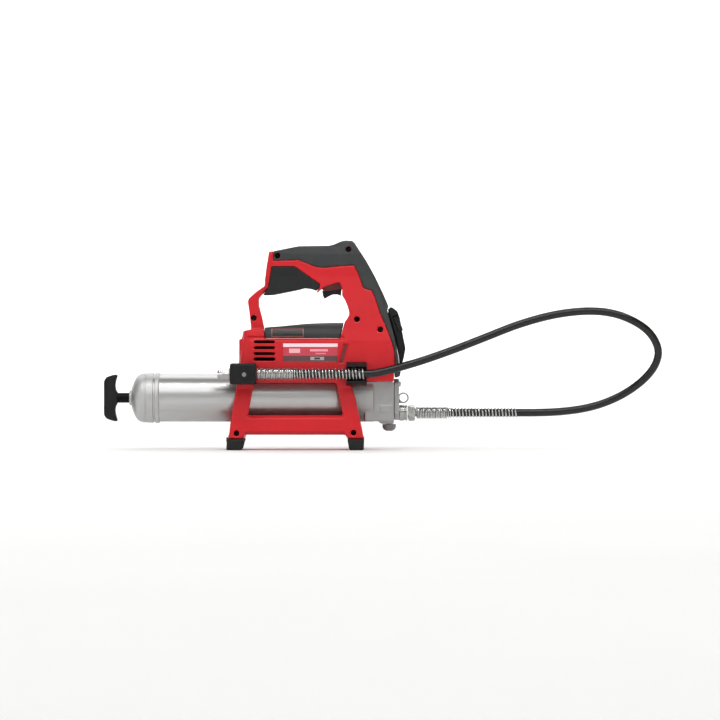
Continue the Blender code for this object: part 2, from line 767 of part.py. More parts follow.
def make_feet():
    rear = [(-34.5, 0), (-17, 0), (-13.7, FOOT_HEIGHT), (-33.6, FOOT_HEIGHT)]
    front = [(109.5, 0), (126.5, 0), (127, FOOT_HEIGHT), (107.2, FOOT_HEIGHT)]
    for i, (outline, side) in enumerate(((rear, -1), (front, -1), (rear, 1), (front, 1)), 1):
        y = sorted((side * FOOT_INNER_Y, side * FOOT_OUTER_Y))
        foot = extruded(f"foot_pad_{i}", outline, "Y", *y)
        bevel = foot.modifiers.new("rounded", "BEVEL")
        bevel.width = 1.5 * MM
        bevel.segments = 2
        bevel.limit_method = "ANGLE"
        finish(foot, RUBBER_BLACK)


def make_screws():
    for i, (x, z, seat, tip) in enumerate(SCREWS, 1):
        head_top = seat - FIT - SCREW_HEAD_HEIGHT
        profile = [
            (head_top, 0),
            (head_top, SCREW_HEAD_RADIUS),
            (seat - FIT, SCREW_HEAD_RADIUS),
            (seat - FIT, SCREW_RADIUS),
            (tip, SCREW_RADIUS),
            (tip, 0),
        ]
        finish(turned(f"housing_screw_{i}", profile, "Y", (x, 0, z), 12), STEEL)


def make_barrel():
    axis = (0, 0, AXIS_Z)
    length = (TUBE_LEFT_X, HEAD_FACE_X - FIT)
    finish(tube("barrel_tube", "X", axis, BORE_RADIUS, BARREL_RADIUS, *length, 48), SILVER)
    outer = BARREL_RADIUS + FIT + CAP_WALL
    hole = ROD_DIAMETER / 2 + RUN
    skirt = CAP_LEFT_X + CAP_LENGTH
    cap = [
        (CAP_LEFT_X - 2.5, hole),
        (CAP_LEFT_X - 2.5, hole + 2.5),
        (CAP_LEFT_X, hole + 2.5),
        (CAP_LEFT_X, outer * 0.37),
        (CAP_LEFT_X + 2.7, outer * 0.6),
        (CAP_LEFT_X + 5.2, outer * 0.79),
        (CAP_LEFT_X + 8.6, outer * 0.915),
        (CAP_LEFT_X + 14.0, outer * 0.975),
        (skirt - CAP_BEAD_WIDTH, outer - 0.4),
        (skirt - CAP_BEAD_WIDTH, outer),
        (skirt, outer),
        (skirt, BARREL_RADIUS + FIT),
        (TUBE_LEFT_X - FIT, BARREL_RADIUS + FIT),
        (TUBE_LEFT_X - FIT, BORE_RADIUS),
        (CAP_LEFT_X + 8.0, BORE_RADIUS * 0.8),
        (CAP_LEFT_X + 4.0, BORE_RADIUS * 0.4),
        (CAP_LEFT_X + 4.0, hole),
    ]
    finish(turned("barrel_cap", cap, "X", axis, 32, True), SILVER)


def make_plunger():
    """The follower with its cup and spring inside the barrel, and the rod with its pull handle."""
    axis = (0, 0, AXIS_Z)
    cup_right = HEAD_FACE_X - SPIGOT_LENGTH - 5.0
    plate_right = cup_right - CUP_THICKNESS - FIT
    plate_left = plate_right - FOLLOWER_THICKNESS
    cup = [
        (plate_right + FIT, 0),
        (plate_right + FIT, BORE_RADIUS - RUN - 1),
        (cup_right, BORE_RADIUS - RUN),
        (cup_right, BORE_RADIUS - RUN - 2.5),
        (plate_right + FIT + 4, BORE_RADIUS - RUN - 5),
        (plate_right + FIT + 4, 0),
    ]
    finish(turned("follower_cup", cup, "X", axis, 32), RUBBER_BLACK)
    finish(rod("follower_plate", "X", axis, BORE_RADIUS - RUN - 1, plate_left, plate_right, 32), STEEL)
    spring_left = TUBE_LEFT_X + 2.0
    outer = BORE_RADIUS - 3.0
    finish(tube("follower_spring", "X", axis, outer - 2.2, outer, spring_left, plate_left - FIT, 24), STEEL)
    pull_right = PULL_LEFT_X + PULL_DEPTH
    middle = PULL_LEFT_X + PULL_DEPTH / 2
    finish(
        rod("plunger_rod", "X", axis, ROD_DIAMETER / 2, middle + FIT, plate_left - FIT, 20),
        STEEL,
    )
    half = PULL_LENGTH / 2
    upper = [
        (pull_right, 6.5),
        (pull_right - 2, 9),
        (pull_right - 3, 14),
        (pull_right - 2, half - 7),
        (pull_right, half - 1.5),
        (pull_right - 1.5, half),
        (PULL_LEFT_X + 10, half - 1),
        (PULL_LEFT_X + 3, half - 3.5),
        (PULL_LEFT_X, half - 8),
    ]
    outline = [(x, AXIS_Z + z) for x, z in upper] + [(x, AXIS_Z - z) for x, z in reversed(upper)]
    pull = extruded("pull_handle", outline, "Y", -PULL_HALF_WIDTH, PULL_HALF_WIDTH, (0, 0, AXIS_Z))
    cut(pull, helper(rod("pull_socket", "X", axis, ROD_DIAMETER / 2 + FIT, middle, pull_right + 5)))
    finish(pull, BLACK)


def make_pump_head():
    """The casting on the barrel's end, with the piston's bore, the outlet and the relief valve's seat."""
    axis = (0, 0, AXIS_Z)
    head = turned(
        "pump_head",
        [
            (HEAD_FACE_X - SPIGOT_LENGTH, 0),
            (HEAD_FACE_X - SPIGOT_LENGTH, BORE_RADIUS - FIT),
            (HEAD_FACE_X, BORE_RADIUS - FIT),
            (HEAD_FACE_X, HEAD_SOCKET_RADIUS),
            (HEAD_SOCKET_X, HEAD_SOCKET_RADIUS),
            (HEAD_SOCKET_X, 0),
        ],
        "X",
        axis,
        40,
    )
    add(head, helper(box("head_block", HEAD_X, (-HEAD_HALF, HEAD_HALF), (HEAD_BOTTOM_Z, HEAD_TOP_Z))))
    neck = [(142, HEAD_BOTTOM_Z + 1), (147, 30.5), (HEAD_X[1], 30.5), (HEAD_X[1], HEAD_BOTTOM_Z + 1)]
    add(head, helper(extruded("head_neck", neck, "Y", -11, 11)))
    bore = PISTON_DIAMETER / 2 + RUN
    outlet = OUTLET_BORE / 2
    shank = 3.6 + RUN
    cut(
        head,
        helper(rod("piston_bore", "Z", (PISTON_X, 0, 0), bore, OUTLET_Z - 4, BODY_Z + 10)),
        helper(rod("outlet_bore", "X", (0, 0, OUTLET_Z), outlet, PISTON_X, HEAD_X[1] + 5)),
        helper(rod("inlet_bore", "X", axis, 4.0, HEAD_FACE_X - SPIGOT_LENGTH - 5, PISTON_X)),
        helper(rod("valve_bore", "Z", (VALVE_X, 0, 0), shank, 20, OUTLET_Z - 2, 16)),
    )
    finish(head, CAST_GREY)
    ball = rod("check_valve", "X", (0, 0, OUTLET_Z), outlet - RUN, PISTON_X + 6.5, PISTON_X + 10.5, 16)
    finish(ball, BRASS)
    valve = [
        (VALVE_Z[0], 0),
        (VALVE_Z[0], VALVE_RADIUS * 0.55),
        (VALVE_Z[0] + 1.5, VALVE_RADIUS * 0.8),
        (VALVE_Z[0] + 4.5, VALVE_RADIUS),
        (VALVE_Z[1] + 0.3, VALVE_RADIUS),
        (VALVE_Z[1] + 0.3, 3.6),
        (OUTLET_Z - 6, 3.6),
        (OUTLET_Z - 6, 0),
    ]
    centre = (VALVE_X, 0, 0)
    finish(turned("relief_valve", valve, "Z", centre, 16, False, (VALVE_X, 0, VALVE_Z[0])), CAST_GREY)


def make_outlet():
    """The cover plate on the head's front, its screws, the outlet fitting and the strap eye."""
    x = (HEAD_X[1] + FIT, HEAD_X[1] + COVER_PLATE_THICKNESS)
    half = COVER_PLATE_HALF
    top = BODY_Z - 6.6
    low = HEAD_BOTTOM_Z + 1.5
    outline = [(-half + 6, low), (half - 6, low), (half, low + 8), (half, top - 5), (half - 5, top)]
    outline += [(-half + 5, top), (-half, top - 5), (-half, low + 8)]
    plate = extruded("cover_plate", outline, "X", *x)
    corners = [(-half + 5, top - 6), (half - 5, top - 6), (-half + 5, low + 12), (half - 5, low + 12)]
    shank = 1.6
    for i, (y, z) in enumerate(corners, 1):
        hole = helper(rod(f"cover_hole_{i}", "X", (0, y, z), shank + FIT, x[0] - 12, x[1] + 5, 12))
        cut(plate, hole)
        cut(bpy.data.objects["pump_head"], hole)
        profile = [(x[0] - 9, 0), (x[0] - 9, shank), (x[1] + FIT, shank), (x[1] + FIT, 3.0)]
        profile += [(x[1] + 2.3, 3.0), (x[1] + 2.3, 0)]
        finish(turned(f"cover_screw_{i}", profile, "X", (0, y, z), 12), STEEL)
    hole = rod("cover_outlet_hole", "X", (0, 0, OUTLET_Z), OUTLET_BORE / 2 + 0.5, x[0] - 5, x[1] + 5)
    cut(plate, helper(hole))
    finish(plate, CAST_GREY)
    boss = x[1] + FIT
    fitting = [
        (PISTON_X + 14, 0),
        (PISTON_X + 14, OUTLET_BORE / 2 - FIT),
        (boss, OUTLET_BORE / 2 - FIT),
        (boss, OUTLET_BOSS_DIAMETER / 2),
        (boss + OUTLET_BOSS_LENGTH, OUTLET_BOSS_DIAMETER / 2),
        (boss + OUTLET_BOSS_LENGTH, 0),
    ]
    finish(turned("outlet_fitting", fitting, "X", (0, 0, OUTLET_Z), 24), SILVER)
    section = [
        (EYE_WIRE * math.cos(math.radians(a)), EYE_RADIUS + EYE_WIRE * math.sin(math.radians(a)))
        for a in range(0, 360, 45)
    ]
    eye = turned("strap_eye", section, "Y", (EYE_X, 0, AXIS_Z), 28, True)
    keep_within(eye, helper(box("eye_limit", (boss, 190), (-5, 5), (AXIS_Z - 20, AXIS_Z + 20))))
    low_bar = AXIS_Z - EYE_RADIUS - EYE_WIRE
    add(eye, helper(box("eye_base", (boss, EYE_X + 4.0), (-1.6, 1.6), (low_bar, low_bar + 2.0))))
    finish(eye, SILVER)


def make_drive():
    """Motor, planetary gears and the crank that works the piston's yoke."""
    axis = (0, 0, DRIVE_Z)
    radius = MOTOR_DIAMETER / 2
    can = [
        (MOTOR_X[0], 0),
        (MOTOR_X[0], radius - 2),
        (MOTOR_X[0] + 2, radius),
        (MOTOR_X[1] - 2, radius),
        (MOTOR_X[1], radius - 2),
        (MOTOR_X[1], 0),
    ]
    finish(turned("motor", can, "X", axis, 32), STEEL)
    addendum = GEAR_MODULE * 0.9
    dedendum = GEAR_MODULE * 1.25
    backlash = 0.12
    sun = extruded(
        "sun_gear",
        moved_outline(gear_outline(SUN_TEETH, addendum, dedendum, backlash), 0, DRIVE_Z),
        "X",
        MOTOR_X[1] + RUN,
        GEAR_X[1],
        axis,
    )
    finish(sun, STEEL)
    orbit = GEAR_MODULE * (SUN_TEETH + PLANET_TEETH) / 2
    pin = 1.6
    planet_points = gear_outline(PLANET_TEETH, addendum, dedendum, backlash)
    plate = (GEAR_X[1] + RUN + 0.6, GEAR_X[1] + 4.5)
    crank = rod("crank_carrier", "X", axis, orbit + pin + 1.5, *plate, 32, axis)
    add(crank, helper(rod("crank_shaft", "X", axis, SHAFT_DIAMETER / 2, GEAR_X[1] + 3, CRANK_X + 1)))
    add(crank, helper(rod("crank_disc", "X", axis, CRANK_RADIUS, CRANK_X, CRANK_X + CRANK_THICKNESS, 28)))
    throw = (0, STROKE / 2, DRIVE_Z)
    crank_pin = (CRANK_X + CRANK_THICKNESS - 1, CRANK_X + CRANK_THICKNESS + CRANK_PIN_LENGTH)
    add(crank, helper(rod("crank_pin", "X", throw, CRANK_PIN_DIAMETER / 2, *crank_pin, 16)))
    for i in range(3):
        angle = math.tau * i / 3
        y = orbit * math.cos(angle)
        z = DRIVE_Z + orbit * math.sin(angle)
        # The gap between two teeth faces the sun's tooth, which points the same way as the planet's centre.
        turn = angle + math.pi + math.pi / PLANET_TEETH
        planet = extruded(
            f"planet_gear_{i + 1}", moved_outline(planet_points, y, z, turn), "X", *GEAR_X, (0, y, z)
        )
        centre = (0, y, z)
        bore = rod(f"planet_bore_{i + 1}", "X", centre, pin + RUN, GEAR_X[0] - 2, GEAR_X[1] + 2, 12)
        cut(planet, helper(bore))
        finish(planet, STEEL)
        stub = rod(f"planet_pin_{i + 1}", "X", centre, pin, GEAR_X[0] + 0.5, GEAR_X[1] + 3, 12)
        add(crank, helper(stub))
    finish(crank, STEEL)
    pitch = GEAR_MODULE * RING_TEETH / 2
    ring_outer = pitch + RING_RIM
    ring = rod("ring_gear", "X", axis, ring_outer, *RING_X, 48)
    # The ring's own teeth are what is left between the teeth of this cutter.
    gaps = moved_outline(gear_outline(RING_TEETH, dedendum, addendum, -backlash), 0, DRIVE_Z)
    cut(ring, helper(extruded("ring_cutter", gaps, "X", RING_X[0] - 2, RING_X[1] + 2)))
    finish(ring, STEEL)
    seat = ring_outer + FIT
    bearing = BEARING_DIAMETER / 2
    case = [
        (RING_X[0], seat),
        (RING_X[0], seat + CASE_WALL),
        (RING_X[1] + 3.5, seat + CASE_WALL),
        (RING_X[1] + 3.5, bearing + FIT + 2.5),
        (BEARING_X[1] + 1, bearing + FIT + 2.5),
        (BEARING_X[1] + 1, bearing + FIT),
        (RING_X[1] + FIT + 0.8, bearing + FIT),
        (RING_X[1] + FIT + 0.8, seat),
    ]
    finish(turned("gear_case", case, "X", axis, 28, True), CAST_GREY)
    race = tube("crank_bearing", "X", axis, SHAFT_DIAMETER / 2 + RUN, bearing, *BEARING_X, 28)
    finish(race, STEEL)
    make_yoke()


def make_yoke():
    """The slotted yoke and the piston under it. The crank's pin ends just short of the slot."""
    x = (PISTON_X - YOKE_THICKNESS / 2, PISTON_X + YOKE_THICKNESS / 2)
    slot_half_z = CRANK_PIN_DIAMETER / 2 + RUN
    slot_half_y = STROKE / 2 + slot_half_z
    y = (-slot_half_y, slot_half_y)
    z = (DRIVE_Z - slot_half_z, DRIVE_Z + slot_half_z)
    yoke = box("piston_yoke", x, (y[0] - YOKE_RIM, y[1] + YOKE_RIM), (z[0] - YOKE_RIM, z[1] + YOKE_RIM))
    cut(yoke, helper(box("yoke_slot", (x[0] - 1, x[1] + 1), y, z)))
    low = OUTLET_Z + OUTLET_BORE / 2 + STROKE / 2
    # The piston is wider than its yoke, so it stays below the crank's pin and a thinner stem joins the two.
    top = DRIVE_Z - STROKE / 2 - slot_half_z
    piston = rod("piston", "Z", (PISTON_X, 0, 0), PISTON_DIAMETER / 2, low, top, 20)
    add(yoke, helper(piston))
    half = YOKE_THICKNESS / 2
    add(yoke, helper(box("yoke_stem", x, (-half, half), (top - 1, z[0] - YOKE_RIM + 1))))
    finish(yoke, STEEL)


def make_trigger():
    pivot = (TRIGGER_PIVOT[0], 0, BODY_Z + TRIGGER_PIVOT[1])
    trigger = extruded("trigger", TRIGGER, "Y", -TRIGGER_HALF, TRIGGER_HALF, pivot)
    radius = TRIGGER_PIN_DIAMETER / 2
    reach = HANDLE_HALF - GRIP_SKIN - 1.0
    cut(trigger, helper(rod("trigger_eye", "Y", pivot, radius + RUN, -FAR_OUT, FAR_OUT, 16)))
    finish(trigger, BLACK)
    pin = rod("trigger_pin", "Y", pivot, radius, -reach, reach, 16)
    finish(pin, STEEL)
    for side, name in ((-1, "housing_near"), (1, "housing_far")):
        y = sorted((side * FIT, side * (reach + FIT)))
        cut(bpy.data.objects[name], helper(rod(f"{name}_trigger_pin", "Y", pivot, radius + FIT, *y, 16)))
    switch_z = (BODY_Z + 119.0, BODY_Z + 136.0)
    finish(box("trigger_switch", (72.0, 98.0), (-8.0, 8.0), switch_z), BLACK)
    centre = (85.0, 0, 0)
    spring_z = (BODY_Z + 104.5, switch_z[0] - FIT)
    finish(tube("trigger_spring", "Z", centre, 1.8, 3.0, *spring_z, 16), STEEL)


def make_battery():
    """The pack slides into the well from the front. Its two latches press in from the sides."""
    battery = extruded("battery_pack", BATTERY_BASE, "Y", -BATTERY_HALF, BATTERY_HALF)
    bevel = battery.modifiers.new("rounded", "BEVEL")
    bevel.width = 3.0 * MM
    bevel.segments = 2
    bevel.limit_method = "ANGLE"
    bevel.angle_limit = math.radians(60)
    stick = battery_box(
        "battery_stick",
        (-STICK_LENGTH, 8.0),
        (-STICK_HALF_HEIGHT, STICK_HALF_HEIGHT),
        (-STICK_HALF_WIDTH, STICK_HALF_WIDTH),
    )
    add(battery, helper(stick))
    for side, name in ((-1, "battery_latch_near"), (1, "battery_latch_far")):
        outer = BATTERY_HALF + 1.2
        depth = 5.0
        along = (5.0, 10.5)
        up = (-14.0, 4.0)
        y = sorted((side * (outer - depth), side * outer))
        latch = battery_box(name, along, up, y)
        pocket = sorted((side * (outer - depth - LATCH_TRAVEL - RUN), side * FAR_OUT))
        hole = battery_box(
            f"{name}_pocket", (along[0] - RUN, along[1] + RUN), (up[0] - RUN, up[1] + RUN), pocket
        )
        cut(battery, helper(hole))
        finish(latch, BLACK)
    finish(battery, BLACK)
    block = battery_box(
        "terminal_block",
        (-STICK_LENGTH - 6.4, -STICK_LENGTH - RUN),
        (-STICK_HALF_HEIGHT + 1, STICK_HALF_HEIGHT - 1),
        (-STICK_HALF_WIDTH + 2, STICK_HALF_WIDTH - 2),
    )
    finish(block, BLACK)


def make_hose_stowage():
    """The holder that takes the coupler and the clip that takes the guard, both on the near side."""
    inner_y = -BODY_HALF - FIT
    z = (HOSE_SIDE_Z - HOLDER_SIDE / 2, HOSE_SIDE_Z + HOLDER_SIDE / 2)
    holder = box("hose_holder", HOLDER_X, (HOLDER_OUTER_Y, inner_y), z)
    bevel = holder.modifiers.new("rounded", "BEVEL")
    bevel.width = 2.5 * MM
    bevel.segments = 2
    axis = (0, HOSE_SIDE_Y, HOSE_SIDE_Z)
    radius = COUPLER_DIAMETER / 2 + RUN
    cut(holder, helper(rod("holder_bore", "X", axis, radius, HOLDER_X[0] - 5, HOLDER_X[1] + 5, 28)))
    finish(holder, BLACK)
    inside = GUARD_DIAMETER / 2 + RUN
    outside = HOLDER_SIDE / 2 + 2.5
    back = HOSE_SIDE_Y + inside + 0.3
    hook = [
        (inner_y, HOSE_SIDE_Z - outside + 2),
        (inner_y, HOSE_SIDE_Z + outside - 2),
        (inner_y - 4, HOSE_SIDE_Z + outside - 1),
        (HOSE_SIDE_Y - 2, HOSE_SIDE_Z + outside - 4),
        (HOSE_SIDE_Y - 2, HOSE_SIDE_Z + inside),
        (back, HOSE_SIDE_Z + inside),
        (back, HOSE_SIDE_Z - inside),
        (HOSE_SIDE_Y - 2, HOSE_SIDE_Z - inside),
        (HOSE_SIDE_Y - 2, HOSE_SIDE_Z - outside + 4),
        (inner_y - 4, HOSE_SIDE_Z - outside + 1),
    ]
    finish(extruded("hose_clip", hook, "X", *CLIP_X), BLACK)


def make_hose():
    """The hose with its coupler, its nut and a spring guard over each end."""
    side_axis = (0, HOSE_SIDE_Y, HOSE_SIDE_Z)
    outlet_axis = (0, 0, OUTLET_Z)
    inner = HOSE_DIAMETER / 2 + GUARD_WALL_GAP
    near_outer = GUARD_DIAMETER / 2
    finish(tube("hose_guard_near", "X", side_axis, inner, near_outer, *NEAR_GUARD_X, 24), STEEL)
    low, high = OUTLET_GUARD_X
    tip = OUTLET_GUARD_TIP / 2
    shoulder = low + GUARD_SHOULDER
    guard = [(low, inner), (low, near_outer), (shoulder, near_outer)]
    guard += [(shoulder + GUARD_TAPER, tip), (high, tip), (high, inner)]
    finish(turned("hose_guard_outlet", guard, "X", outlet_axis, 24, True), STEEL)
    nut_radius = NUT_FLATS / 2 / math.cos(math.radians(30))
    angles = [math.radians(a) for a in range(0, 360, 60)]
    corners = [(nut_radius * math.sin(a), nut_radius * math.cos(a)) for a in angles]
    nut = extruded("coupler_nut", moved_outline(corners, 0, OUTLET_Z), "X", NUT_X, OUTLET_GUARD_X[0] - FIT)
    finish(nut, SILVER)
    radius = COUPLER_DIAMETER / 2
    left = COUPLER_X
    coupler = [
        (left, 0),
        (left, radius - 2),
        (left + 1.5, radius),
        (HOLDER_X[0] + 4, radius),
        (NEAR_GUARD_X[0] - FIT, radius),
        (NEAR_GUARD_X[0] - FIT, 0),
    ]
    finish(turned("hose_coupler", coupler, "X", side_axis, 28), SILVER)
    route = [(x, 0, OUTLET_Z) for x in (low, high - GUARDED_STEP, high)]
    route += HOSE_ROUTE
    guarded = (NEAR_GUARD_X[1], NEAR_GUARD_X[1] - GUARDED_STEP, NEAR_GUARD_X[0])
    route += [(x, HOSE_SIDE_Y, HOSE_SIDE_Z) for x in guarded]
    centreline = smooth_points(route, TUBE_POINT_STEP)
    curve = bpy.data.curves.new("hose", "CURVE")
    curve.dimensions = "3D"
    curve.bevel_depth = HOSE_DIAMETER / 2 * MM
    curve.bevel_resolution = 3
    curve.use_fill_caps = True
    spline = curve.splines.new("POLY")
    spline.points.add(len(centreline) - 1)
    for point, place in zip(spline.points, centreline):
        point.co = (*(place * MM), 1.0)
    hose = bpy.data.objects.new("hose", curve)
    hose.parent = FRAME
    bpy.context.collection.objects.link(hose)
    finish(hose, BLACK)


clear_scene()
FRAME = make_frame()
make_shell(-1, "housing_near")
make_shell(1, "housing_far")
make_label()
make_grips()
make_motor_cover()
make_feet()
make_screws()
make_barrel()
make_plunger()
make_pump_head()
make_outlet()
make_drive()
make_trigger()
make_battery()
make_hose_stowage()
make_hose()
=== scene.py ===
import math

import bpy
from bpy.props import FloatProperty, FloatVectorProperty, PointerProperty
from bpy.types import Operator, Panel, PropertyGroup
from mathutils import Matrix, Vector


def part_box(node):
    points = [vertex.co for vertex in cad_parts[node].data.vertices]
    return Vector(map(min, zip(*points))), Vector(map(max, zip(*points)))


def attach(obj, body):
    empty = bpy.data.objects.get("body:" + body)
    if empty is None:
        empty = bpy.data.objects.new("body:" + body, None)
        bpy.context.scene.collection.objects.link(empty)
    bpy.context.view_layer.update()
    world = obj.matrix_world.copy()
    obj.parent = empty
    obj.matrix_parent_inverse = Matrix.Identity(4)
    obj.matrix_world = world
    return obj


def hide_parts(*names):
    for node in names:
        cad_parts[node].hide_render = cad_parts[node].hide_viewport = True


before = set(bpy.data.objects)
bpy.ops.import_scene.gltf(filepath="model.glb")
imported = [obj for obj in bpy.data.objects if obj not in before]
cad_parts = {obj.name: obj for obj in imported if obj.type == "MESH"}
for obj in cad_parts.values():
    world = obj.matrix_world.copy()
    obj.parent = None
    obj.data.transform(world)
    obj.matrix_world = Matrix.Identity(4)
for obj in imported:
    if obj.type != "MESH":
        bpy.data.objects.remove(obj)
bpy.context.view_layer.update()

bl_info = {
    "name": "Cordless grease gun",
    "version": (1, 0, 0),
    "blender": (4, 5, 0),
    "location": "3D View > Sidebar > Grease gun",
    "description": "Builds the finished pieces of a cordless grease gun around its packed model",
    "category": "Object",
}

MM = 0.001
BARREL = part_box("barrel_tube")
MID_Y = (BARREL[0].y + BARREL[1].y) / 2
AXIS_Z = (BARREL[0].z + BARREL[1].z) / 2 / MM
BARREL_RADIUS = (BARREL[1].z - BARREL[0].z) / 2 / MM
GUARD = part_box("hose_guard_near")
GUARD_LEFT_X = 1.3
# The tool's own origin: lengths below are millimetres from it, along the tool's length, width and height
ORIGIN = Vector((GUARD[0].x - GUARD_LEFT_X * MM, MID_Y, 0.0))
HOSE_Y = ((GUARD[0].y + GUARD[1].y) / 2 - MID_Y) / MM
HOSE_Z = (GUARD[0].z + GUARD[1].z) / 2 / MM
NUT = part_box("coupler_nut")
OUTLET_Z = (NUT[0].z + NUT[1].z) / 2 / MM
HOSE_DIAMETER = 9.5
BODY_HALF = 32.0
TUBE_WALL = 2.25
BADGE_X = (18.0, 56.0)
CORNERS_OF_SIX = range(0, 360, 60)
SMOOTH_BELOW = math.radians(40)
MOST_TRIANGLES = 150000
CURVE_STEPS = 24
TURN_STEPS = 16
X, Y, Z = range(3)

# The hose between its two guards, point by point along its loop
HOSE_ROUTE = [
    (330.0, -0.5, 43.6), (355.0, -2.5, 44.6), (380.0, -5.5, 47.5), (402.0, -9.0, 52.6),
    (422.0, -13.0, 60.4), (440.0, -16.5, 70.6), (456.0, -20.0, 83.4), (467.5, -23.0, 97.8),
    (472.2, -25.5, 113.5), (468.0, -28.0, 128.6), (457.0, -30.0, 142.0), (440.0, -32.0, 152.6),
    (420.0, -34.0, 159.8), (397.0, -36.0, 162.8), (370.0, -38.5, 161.6), (340.0, -41.0, 156.4),
    (305.0, -43.0, 146.2), (270.0, -44.8, 132.6), (235.0, -46.0, 119.0), (200.0, -46.8, 106.6),
    (172.0, -47.0, 98.0), (150.0, -47.0, 92.4),
]


def linear(code):
    """An sRGB hex colour as linear red, green and blue."""
    values = [int(code[i : i + 2], 16) / 255 for i in (1, 3, 5)]
    return [v / 12.92 if v <= 0.04045 else ((v + 0.055) / 1.055) ** 2.4 for v in values]


def spot(x, y, z):
    """A point of the tool's own axes, in millimetres, as a place in the scene."""
    return ORIGIN + Vector((x, y, z)) * MM


def limits(node):
    """A CAD node's limits along x, y and z, in the tool's millimetres."""
    return [[(value - start) / MM for value in pair] for *pair, start in zip(*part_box(node), ORIGIN)]


def half_size(node, axis):
    """Half of a CAD node's size along an axis, in millimetres: the radius of a round one."""
    low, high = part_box(node)
    return (high[axis] - low[axis]) / 2 / MM


# ---- sizes and colours


def length(name, description, value):
    return FloatProperty(name=name, description=description, default=value, min=0.0, unit="LENGTH")


def tint(name, description, code):
    return FloatVectorProperty(
        name=name, description=description, subtype="COLOR", size=3, min=0.0, max=1.0, default=linear(code)
    )


class GunSizes(PropertyGroup):
    edge: length("Moulded edge", "Grid that rounds the corners of the moulded pieces", 1.0 * MM)
    fine_edge: length("Fine edge", "Grid that rounds the corners of the small pieces", 0.6 * MM)
    wire: length("Guard wire", "Wire of the hose's spring guards", 1.7 * MM)
    open_pitch: length("Open pitch", "Pitch of the open turns of the spring guards", 3.9 * MM)
    camera_distance: length("Camera distance", "From the camera to the tool's middle plane", 4.72)
    frame_width: length("Frame width", "Width taken in by the camera at the tool's middle plane", 849.6 * MM)


class GunColours(PropertyGroup):
    red: tint("Red", "Shell", "#C8131E")
    grey: tint("Grey", "Soft skin over the handle", "#38393A")
    grip: tint("Grip", "Soft skin under the handle", "#1F2120")
    black: tint("Black", "Battery, clips, trigger and pull handle", "#121213")
    silver: tint("Silver", "Barrel and its cap", "#B9B9B8")
    casting: tint("Casting", "Pump head", "#A6A6A5")
    steel: tint("Steel", "Springs, fittings and screws", "#B0B0AE")
    hose: tint("Hose", "Hose cover", "#0A0A0B")


def sizes():
    return bpy.context.scene.gun_sizes


def colours():
    return bpy.context.scene.gun_colours


# ---- modelling


def pick(obj):
    """Selects that object alone and makes it the active one."""
    bpy.ops.object.select_all(action="DESELECT")
    obj.select_set(True)
    bpy.context.view_layer.objects.active = obj


def apply_place():
    """Applies the selected object's place, turn and size to its mesh."""
    bpy.ops.object.transform_apply(location=True, rotation=True, scale=True)


def edit_all():
    """Opens the active object for editing, all of it selected."""
    bpy.ops.object.mode_set(mode="EDIT")
    bpy.ops.mesh.select_all(action="SELECT")


def leave_edit():
    """Turns every face outwards and closes the object."""
    bpy.ops.mesh.select_all(action="SELECT")
    bpy.ops.mesh.normals_make_consistent(inside=False)
    bpy.ops.object.mode_set(mode="OBJECT")


def block(x, y, z):
    """A cuboid between those limits."""
    low = spot(x[0], y[0], z[0])
    high = spot(x[1], y[1], z[1])
    bpy.ops.mesh.primitive_cube_add(size=1.0, location=(low + high) / 2, scale=high - low)
    apply_place()
    return bpy.context.object


def loop_of(points, fill):
    """A loop with its corners at those points."""
    bpy.ops.mesh.primitive_circle_add(vertices=len(points), fill_type=fill, location=(0, 0, 0))
    obj = bpy.context.object
    for vertex, point in zip(obj.data.vertices, points):
        vertex.co = spot(*point)
    return obj


def prism(outline, axis, low, high):
    """An outline in the plane square to the axis, drawn out from low to high."""
    points = [{"X": (low, u, v), "Y": (u, low, v), "Z": (u, v, low)}[axis] for u, v in outline]
    obj = loop_of(points, "NGON")
    push = Vector([(high - low if letter == axis else 0.0) for letter in "XYZ"])
    edit_all()
    bpy.ops.mesh.extrude_region_move(TRANSFORM_OT_translate={"value": push * MM})
    leave_edit()
    return obj


def wedge(points):
    """The solid whose corners are those points."""
    obj = loop_of(points, "NOTHING")
    edit_all()
    bpy.ops.mesh.convex_hull()
    leave_edit()
    return obj


def turned(profile, centre, axis="X", sides=48):
    """A solid of revolution from (along, radius) points: a disc drawn out and resized, step by step."""
    along, radius = profile[0]
    bpy.ops.mesh.primitive_circle_add(
        vertices=sides,
        radius=radius * MM,
        fill_type="NGON",
        location=(along * MM, 0, 0),
        rotation=(0, math.pi / 2, 0),
    )
    obj = bpy.context.object
    apply_place()
    edit_all()
    for next_along, next_radius in profile[1:]:
        step = ((next_along - along) * MM, 0, 0)
        bpy.ops.mesh.extrude_region_move(TRANSFORM_OT_translate={"value": step})
        share = next_radius / radius
        bpy.ops.transform.resize(value=(1, share, share), center_override=(next_along * MM, 0, 0))
        along, radius = next_along, next_radius
    leave_edit()
    obj.rotation_euler = {"X": (0, 0, 0), "Y": (0, 0, math.pi / 2), "Z": (0, -math.pi / 2, 0)}[axis]
    obj.location = spot(*centre)
    apply_place()
    return obj


def rod(axis, centre, radius, low, high, sides=32):
    """A round bar from low to high along the axis."""
    return turned([(low, radius), (high, radius)], centre, axis, sides)


def modified(obj, kind, **settings):
    """Applies a modifier of that kind with those settings."""
    pick(obj)
    modifier = obj.modifiers.new(kind, kind)
    for key, value in settings.items():
        setattr(modifier, key, value)
    bpy.ops.object.modifier_apply(modifier=modifier.name)
    return obj


def combine(target, tool, operation):
    """A Boolean of the two, applied. The tool is used up."""
    modified(target, "BOOLEAN", operation=operation, solver="EXACT", object=tool)
    bpy.data.objects.remove(tool, do_unlink=True)
    return target


def cut(target, *tools):
    for tool in tools:
        combine(target, tool, "DIFFERENCE")
    return target


